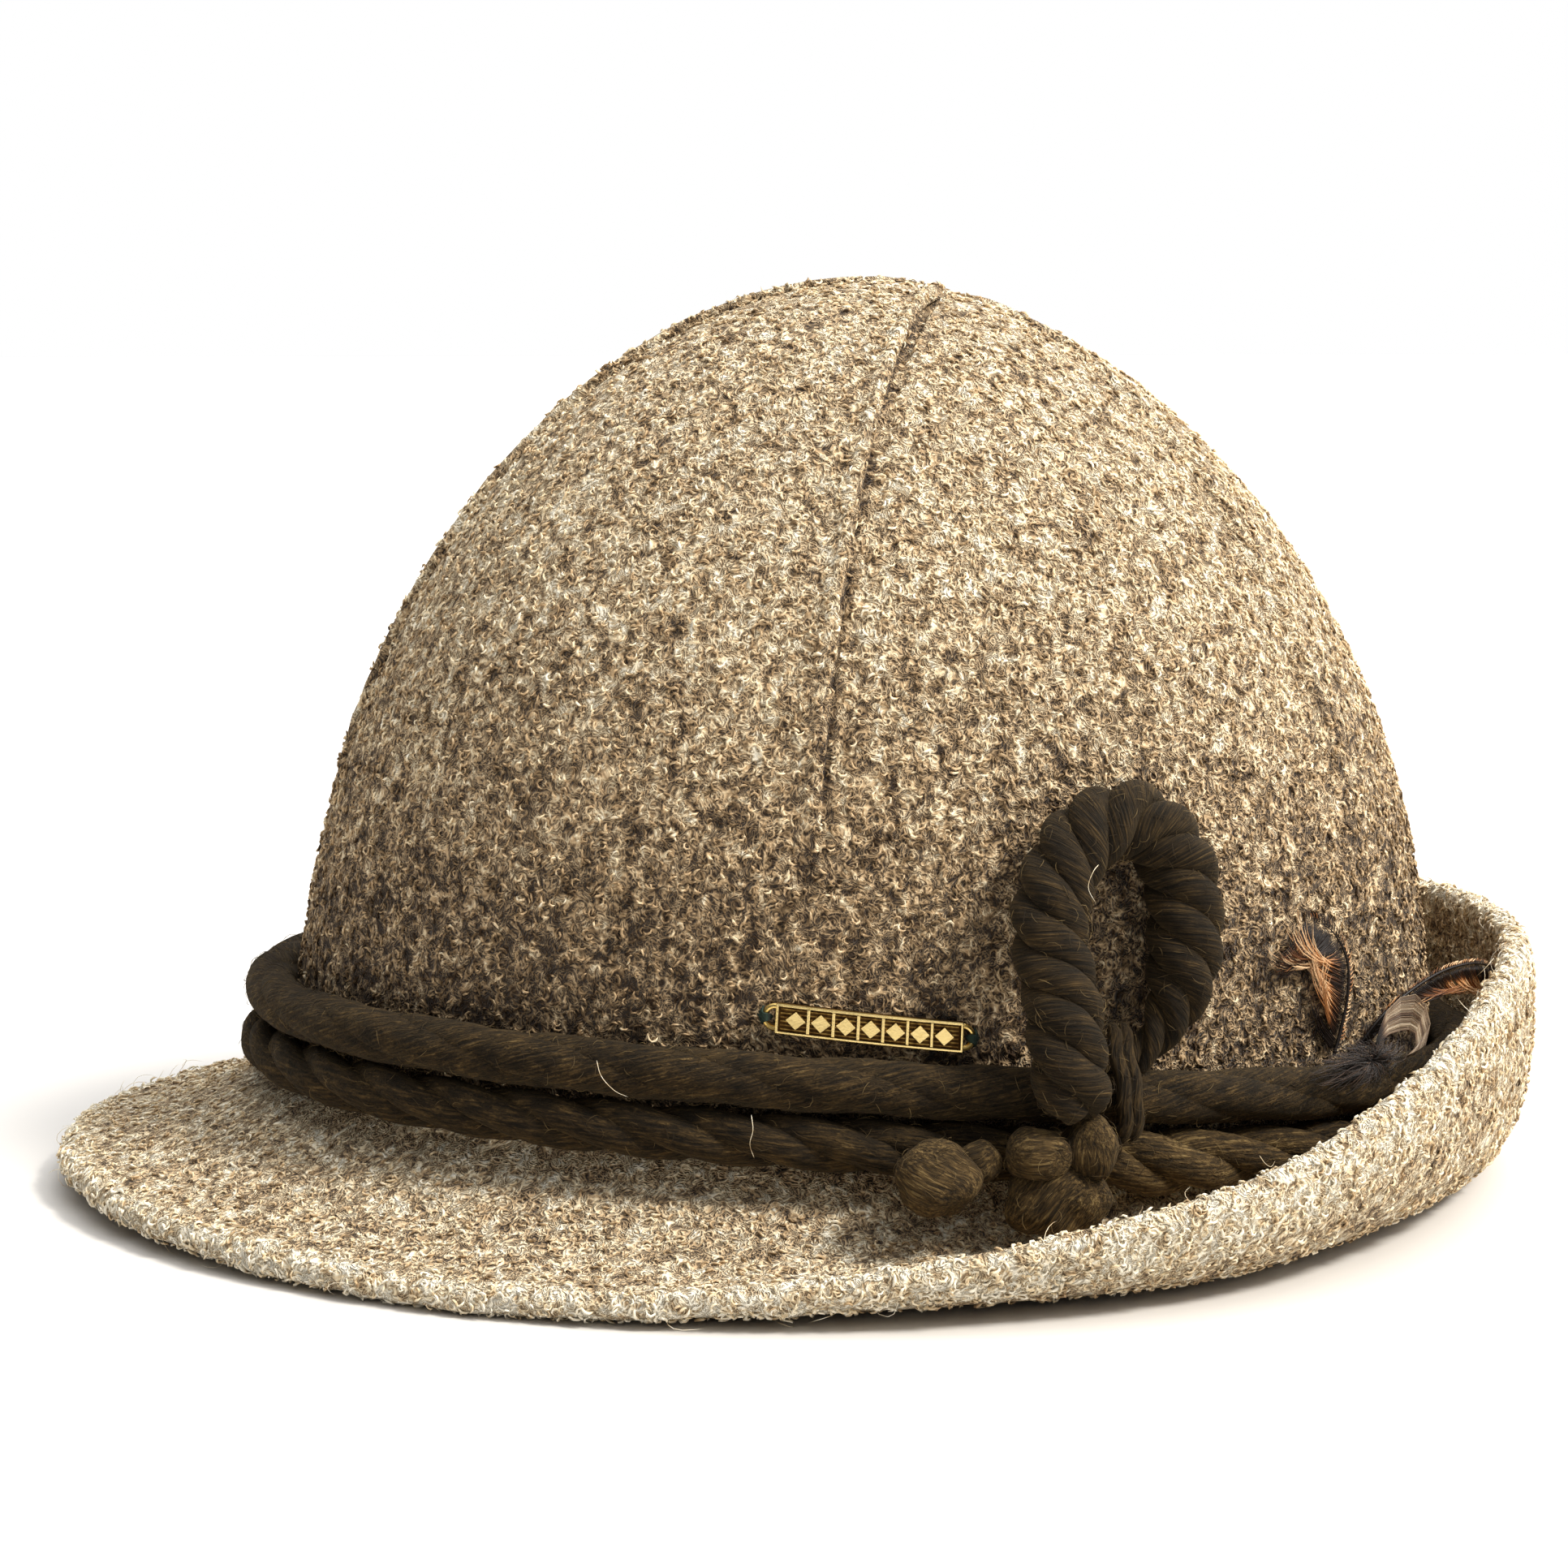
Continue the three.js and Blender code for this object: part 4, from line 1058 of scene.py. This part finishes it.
# %% Down
DARK_BARBS, PALE_BARBS = 440, 170
dice = random.Random(11)
bm = bmesh.new()
barb = bm.verts.layers.float_vector.new("barb")
root = beside(FEATHER_AT, seat(FEATHER_AT) + BAND_TOP + 0.8 * MM, 0.9 * CORD)
back = Vector((-outward(FEATHER_AT).y, outward(FEATHER_AT).x, 0))
out = outward(FEATHER_AT)


def down_strand(points, thick, tone):
    """One soft barb through a few points, given as (back, up, out) in millimetres from the root."""
    line = smooth_line([root + (back * x + UP * y + out * z) * MM for x, y, z in points], 9)
    start = len(bm.verts)
    sweep(bm, line, turned_axes(line, out, lambda i: thick * MM * (1.1 - i / 10)), 3)
    bm.verts.ensure_lookup_table()
    for vert in bm.verts[start:]:
        vert[barb] = (0, 0, tone)


for number in range(DARK_BARBS):             # the dark tuft
    turn = dice.uniform(0, math.tau)
    reach = 14 * dice.uniform(0.4, 1.0)
    x, y = math.cos(turn) * reach - 0.28 * reach, math.sin(turn) * reach * 0.34
    bow = dice.uniform(0.4, 2.6)
    down_strand([(x * 0.05, y * 0.05, 0), (x * 0.45, y * 0.5 + dice.uniform(-0.8, 1.0), bow),
                 (x * 0.85, y * 0.9 + dice.uniform(-1, 1), bow * 0.7),
                 (x * 1.0, y + dice.uniform(-1.4, 0.6), bow * 0.3)],
                0.07, dice.choice((0.05, 0.2, 0.3, 0.45)) + dice.uniform(0, 0.1))
for number in range(PALE_BARBS):             # the pale shell-like curl
    t = number / PALE_BARBS
    lift = dice.uniform(-0.25, 0.25)
    down_strand([(0.4, 0.6, 0.3), (2.4 + 1.8 * t, 3.0 + 5.2 * t + lift, 0.8),
                 (6.5 + 3.6 * t + lift, 4.0 + 5.8 * t, 1.2 + lift),
                 (11.3 + 3.4 * t, 2.8 + 3.6 * t + lift, 1.0),
                 (12.0 + 3.6 * t + lift, 0.2 + 1.2 * t, 0.8), (7.4 + 3.6 * t, -1.0 + lift, 0.9 + lift)],
                0.055, 0.5 + 0.3 * abs(math.sin(t * 7)) + dice.uniform(-0.2, 0.2))
feather_down = shown("down_tuft", yarn_mesh("down_tuft", bm), down_barbs)
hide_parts("feather_down")
print("down:", len(feather_down.data.polygons), "faces")

# %% [markdown]
# ## Curls and loose fibres
# Close up, boiled wool is a tangle of tiny curls, and its outline is hairy. Hair curves would
# not reach the exported mesh, so a few curl shapes are made once and Geometry Nodes scatters
# them over the surface and makes them real. Each keeps a random tone between dark and cream.

# %% Scatter


def curl(name, radius, arc, rise, thick, wave=0.0, stations=5):
    """A small tapered curl lying flat: a bent strand with pointed ends."""
    bm = bmesh.new()
    line = []
    for step in range(stations):
        t = step / (stations - 1)
        turn = math.radians(arc) * (t - 0.5)
        line.append(Vector((math.sin(turn) * radius, (math.cos(turn) - 1) * radius * (1 + wave * t),
                            rise * math.sin(math.pi * t))) * MM)
    last = stations - 1
    sweep(bm, line, turned_axes(
        line, UP, lambda i: thick / 2 * MM * (0.55 + 0.45 * math.sin(math.pi * i / last))), 3)
    return bpy.data.objects.new(name, yarn_mesh(name, bm))


def scatter(name, surface, shapes, per_cm2, share, tilt, seed, sink, finish_with):
    """Scatters shapes over a surface, more where the named share is high, as one real mesh."""
    shelf = bpy.data.collections.new(name + "_shapes")
    for shape in shapes:
        shelf.objects.link(shape)
    tree = bpy.data.node_groups.new(name, "GeometryNodeTree")
    tree.interface.new_socket("Geometry", in_out="INPUT", socket_type="NodeSocketGeometry")
    tree.interface.new_socket("Geometry", in_out="OUTPUT", socket_type="NodeSocketGeometry")
    start = add(tree, "NodeGroupInput").outputs[0]
    named = add(tree, "GeometryNodeInputNamedAttribute", {"Name": share}, data_type="FLOAT")
    density = add(tree, "ShaderNodeMath", {
        0: named.outputs["Attribute"], 1: per_cm2 * 1e4}, operation="MULTIPLY")
    points = add(tree, "GeometryNodeDistributePointsOnFaces", {
        "Mesh": start, "Density": density.outputs[0], "Seed": seed}, distribute_method="RANDOM")
    shapes_in = add(tree, "GeometryNodeCollectionInfo", {
        "Collection": shelf, "Separate Children": True, "Reset Children": True})
    size = add(tree, "FunctionNodeRandomValue", {2: 0.75, 3: 1.25, "Seed": seed + 1}, data_type="FLOAT")
    placed = add(tree, "GeometryNodeInstanceOnPoints", {
        "Points": points.outputs["Points"], "Instance": shapes_in.outputs[0], "Pick Instance": True,
        "Rotation": points.outputs["Rotation"], "Scale": size.outputs[1]})
    spin = add(tree, "FunctionNodeRandomValue", {
        0: (0, 0, 0), 1: (0, 0, math.tau), "Seed": seed + 2}, data_type="FLOAT_VECTOR")
    spun = add(tree, "GeometryNodeRotateInstances", {
        "Instances": placed.outputs[0], "Rotation": spin.outputs[0], "Local Space": True})
    most = math.radians(tilt)
    lean = add(tree, "FunctionNodeRandomValue", {
        0: (-most, -most, 0), 1: (most, most, 0), "Seed": seed + 3}, data_type="FLOAT_VECTOR")
    leant = add(tree, "GeometryNodeRotateInstances", {
        "Instances": spun.outputs[0], "Rotation": lean.outputs[0], "Local Space": True})
    sunk = add(tree, "GeometryNodeTranslateInstances", {
        "Instances": leant.outputs[0], "Translation": (0, 0, -sink * MM), "Local Space": True})
    tone = add(tree, "FunctionNodeRandomValue", {2: 0.0, 3: 1.0, "Seed": seed + 4}, data_type="FLOAT")
    toned = add(tree, "GeometryNodeStoreNamedAttribute", {
        "Geometry": sunk.outputs[0], "Name": "tone", "Value": tone.outputs[1]},
        data_type="FLOAT", domain="INSTANCE")
    real = add(tree, "GeometryNodeRealizeInstances", {0: toned.outputs[0]})
    add(tree, "NodeGroupOutput", {0: real.outputs[0]})
    helper = in_scene(name, surface.data)
    helper.modifiers.new(name, "NODES").node_group = tree
    mesh = applied(helper)
    for shape in shapes:
        bpy.data.objects.remove(shape)
    bpy.data.collections.remove(shelf)
    mesh.materials.clear()
    for vertex in mesh.vertices:                 # nothing hangs below the table
        vertex.co.z = max(vertex.co.z, 0.05 * MM)
    piece = shown(name, mesh, finish_with)
    triangles = sum(len(polygon.vertices) - 2 for polygon in mesh.polygons)
    print(name, len(mesh.polygons), "faces,", round(triangles / 1000), "thousand triangles")
    return piece


# %% [markdown]
# ### The finishes of hairs and curls
# The cords' hairs are single roving fibres, matt, from near black to olive. The felt's curls
# stand out of the wool below them. They could have tones of their own, but then the flecks
# would be lost under them, so they follow the felt's tone and differ only a little.

# %% Finishes of the loose fibres
PATCH = 3.0                  # mm, hairs of one tone that lie together
hair_wool, tree, shader = finish("loose_roving_fibres")
own = add(tree, "ShaderNodeAttribute", attribute_name="tone").outputs["Fac"]
place = add(tree, "ShaderNodeTexCoord").outputs["Object"]
patches = add(tree, "ShaderNodeTexNoise", {"Vector": place, "Scale": per_metre(PATCH), "Detail": 2.0})
mixed = add(tree, "ShaderNodeMath", {0: patches.outputs["Fac"], 1: 0.9, 2: -0.45}, operation="MULTIPLY_ADD")
mixed = add(tree, "ShaderNodeMath", {0: mixed.outputs[0], 1: own}, operation="ADD")
colour = ramp(tree, mixed.outputs[0], [(0.0, "#1a130a"), (0.5, "#40331f"), (1.0, "#7c6844")])
tree.links.new(colour, shader.inputs["Base Color"])
shader.inputs["Roughness"].default_value = 0.85
shader.inputs["Specular IOR Level"].default_value = 0.25

curl_wool, tree, shader = finish("boiled_wool_curls")
_, below = wool_tone(tree, add(tree, "ShaderNodeTexCoord").outputs["Object"])
own = add(tree, "ShaderNodeAttribute", attribute_name="tone").outputs["Fac"]
mixed = add(tree, "ShaderNodeMath", {0: own, 1: 0.16, 2: below}, operation="MULTIPLY_ADD")
tree.links.new(ramp(tree, mixed.outputs[0], WOOL_STOPS), shader.inputs["Base Color"])
shader.inputs["Roughness"].default_value = 0.9
shader.inputs["Specular IOR Level"].default_value = 0.15
print("finishes:", hair_wool.name, "and", curl_wool.name)

# %% [markdown]
# ### The curls of the felt
# The crown has two sets of curls, because one alone would be too heavy a piece. The brim has
# one, and its cut edge has a denser and wilder one, with a few long wisps.

# %% Curls of the felt


def wool_curls():
    """The curl shapes of the felt."""
    return [curl("curl_a", 0.7, 200, 0.35, 0.48), curl("curl_b", 0.6, 230, 0.4, 0.44),
            curl("curl_c", 1.2, 95, 0.4, 0.5), curl("curl_d", 0.7, 180, 0.5, 0.42, 0.5),
            curl("curl_e", 0.9, 140, 0.35, 0.52, -0.4)]


for number in (1, 2):
    scatter("crown_curls_%d" % number, crown, wool_curls(), 15, "curly", 24, 40 + number * 10, 0.12,
            curl_wool)
scatter("brim_curls", brim, wool_curls(), 18, "curly", 24, 70, 0.12, curl_wool)
scatter("brim_edge_curls", brim, wool_curls(), 20, "edge", 40, 80, 0.0, curl_wool)

# %% Wisps of the brim's edge
wisps = [curl("wisp_a", 4.2, 80, 1.4, 0.1, 0.4, 7), curl("wisp_b", 3.0, 130, 1.8, 0.09, 0.6, 7),
         curl("wisp_c", 7.0, 55, 1.0, 0.1, -0.3, 7)]
scatter("brim_wisps", brim, wisps, 1.6, "edge", 60, 90, -0.2, curl_wool)

# %% [markdown]
# ### The fuzz of the cords
# Fine hairs stand off each cord and knot, which takes the hard line from their outlines.

# %% Fuzz of the cords


def fuzz_shapes():
    """Fine bowed hairs."""
    return [curl("hair_a", 2.6, 60, 0.5, 0.1), curl("hair_b", 1.6, 110, 0.7, 0.09, 0.3),
            curl("hair_c", 3.4, 50, 0.3, 0.1, -0.3)]


for number, piece in enumerate((upper_cord, lower_cord, loop_cord, loop_tie, knot_centre, knot_left)):
    add_share(piece.data, "hairy", [1.0] * len(piece.data.vertices))
    scatter(piece.name + "_fuzz", piece, fuzz_shapes(), 9 if number < 2 else 16, "hairy", 16,
            100 + number * 7, 0.05, hair_wool)

# %% [markdown]
# ### Lint
# A few single cream fibres have caught on the dark cords. They are too few to scatter, so
# each is a fine sweep through four points, given as (direction, height above the brim's line,
# way out from the wall) in degrees and millimetres.

# %% Lint
LINT = [
    [(99.0, 51.5, 15.6), (98.2, 50.5, 16.3), (97.6, 48.0, 16.2), (98.4, 45.6, 15.9)],
    [(51.2, 16.0, 9.9), (51.8, 13.6, 10.1), (53.2, 11.4, 9.9), (54.4, 10.6, 9.6)],
    [(66.0, 9.5, 9.4), (66.3, 7.2, 10.2), (66.1, 5.0, 10.2), (66.6, 2.6, 9.6)],
    [(118.0, 5.5, 11.2), (118.6, 4.2, 11.6), (119.4, 3.6, 11.5), (120.1, 4.4, 11.0)],
]
bm = bmesh.new()
for points in LINT:
    line = smooth_line([beside(at, seat(at) + up * MM, out * MM) for at, up, out in points], 16)
    sweep(bm, line, turned_axes(line, UP, lambda i: 0.07 * MM * (1 - i / 24)), 4)
lint = shown("lint", yarn_mesh("lint", bm), curl_wool)
add_share(lint.data, "tone", [1.0] * len(lint.data.vertices))
print("lint:", len(LINT), "fibres")

# %% [markdown]
# ## The studio
# The hat stands on a white sweep under a wide bright dome. Most of the light comes from above
# and a little from behind. A sun with a soft edge at the picture's right, as from a window,
# draws the shadows of the curls. The dome also lights the far floor as brightly as the sky
# behind it, so no horizon shows.

# %% Floor and light
FLOOR_SIDE = 12.0
# White paper: matt and even, so that only the hat's shadow marks it.
white, tree, shader = finish("white_paper")
shader.inputs["Base Color"].default_value = linear("#d8d5d1")
shader.inputs["Roughness"].default_value = 0.9
bm = bmesh.new()
bmesh.ops.create_grid(bm, x_segments=1, y_segments=1, size=FLOOR_SIDE)
floor = in_scene("floor", mesh_from("floor", bm))
floor.data.materials.append(white)

sky = bpy.data.worlds.new("sky")
sky.use_nodes = True
tree = sky.node_tree
SKY_FAINT, SKY_STRONG, SKY_FOCUS = 0.18, 3.15, 3.0
WINDOW_STRENGTH, WINDOW_SPREAD = 3.45, 14


def way_to(side, height):
    """The direction of a light, from its side round the hat and its height, both in degrees."""
    return heading(side) * math.cos(math.radians(height)) + UP * math.sin(math.radians(height))


bright_sky = way_to(205, 64)     # from above and a little behind, so the near brim shades the table
window_way = way_to(150, 48)     # the picture's right
way = add(tree, "ShaderNodeTexCoord").outputs["Generated"]
toward = add(tree, "ShaderNodeVectorMath", {0: way, 1: bright_sky}, operation="DOT_PRODUCT")
toward = add(tree, "ShaderNodeMath", {0: toward.outputs["Value"], 1: 0.0}, operation="MAXIMUM")
lobe_light = add(tree, "ShaderNodeMath", {0: toward.outputs[0], 1: SKY_FOCUS}, operation="POWER")
light = add(tree, "ShaderNodeMath", {
    0: lobe_light.outputs[0], 1: SKY_STRONG, 2: SKY_FAINT}, operation="MULTIPLY_ADD")
rays = add(tree, "ShaderNodeLightPath")
seen = add(tree, "ShaderNodeMath", {0: 1.0, 1: light.outputs[0]}, operation="SUBTRACT")
strength = add(tree, "ShaderNodeMath", {
    0: rays.outputs["Is Camera Ray"], 1: seen.outputs[0], 2: light.outputs[0]}, operation="MULTIPLY_ADD")
background = tree.nodes["Background"]
background.inputs["Color"].default_value = linear("#ffffff")
tree.links.new(strength.outputs[0], background.inputs["Strength"])
bpy.context.scene.world = sky
bpy.context.scene.view_settings.view_transform = "Standard"

sun_data = bpy.data.lights.new("window", "SUN")
sun_data.energy = WINDOW_STRENGTH
sun_data.angle = math.radians(WINDOW_SPREAD)
sun_data.color = linear("#fffaf2")[:3]
sun = in_scene("window", sun_data)
sun.location = window_way
sun.rotation_euler = (-window_way).to_track_quat("-Z", "Y").to_euler()
print("studio ready")
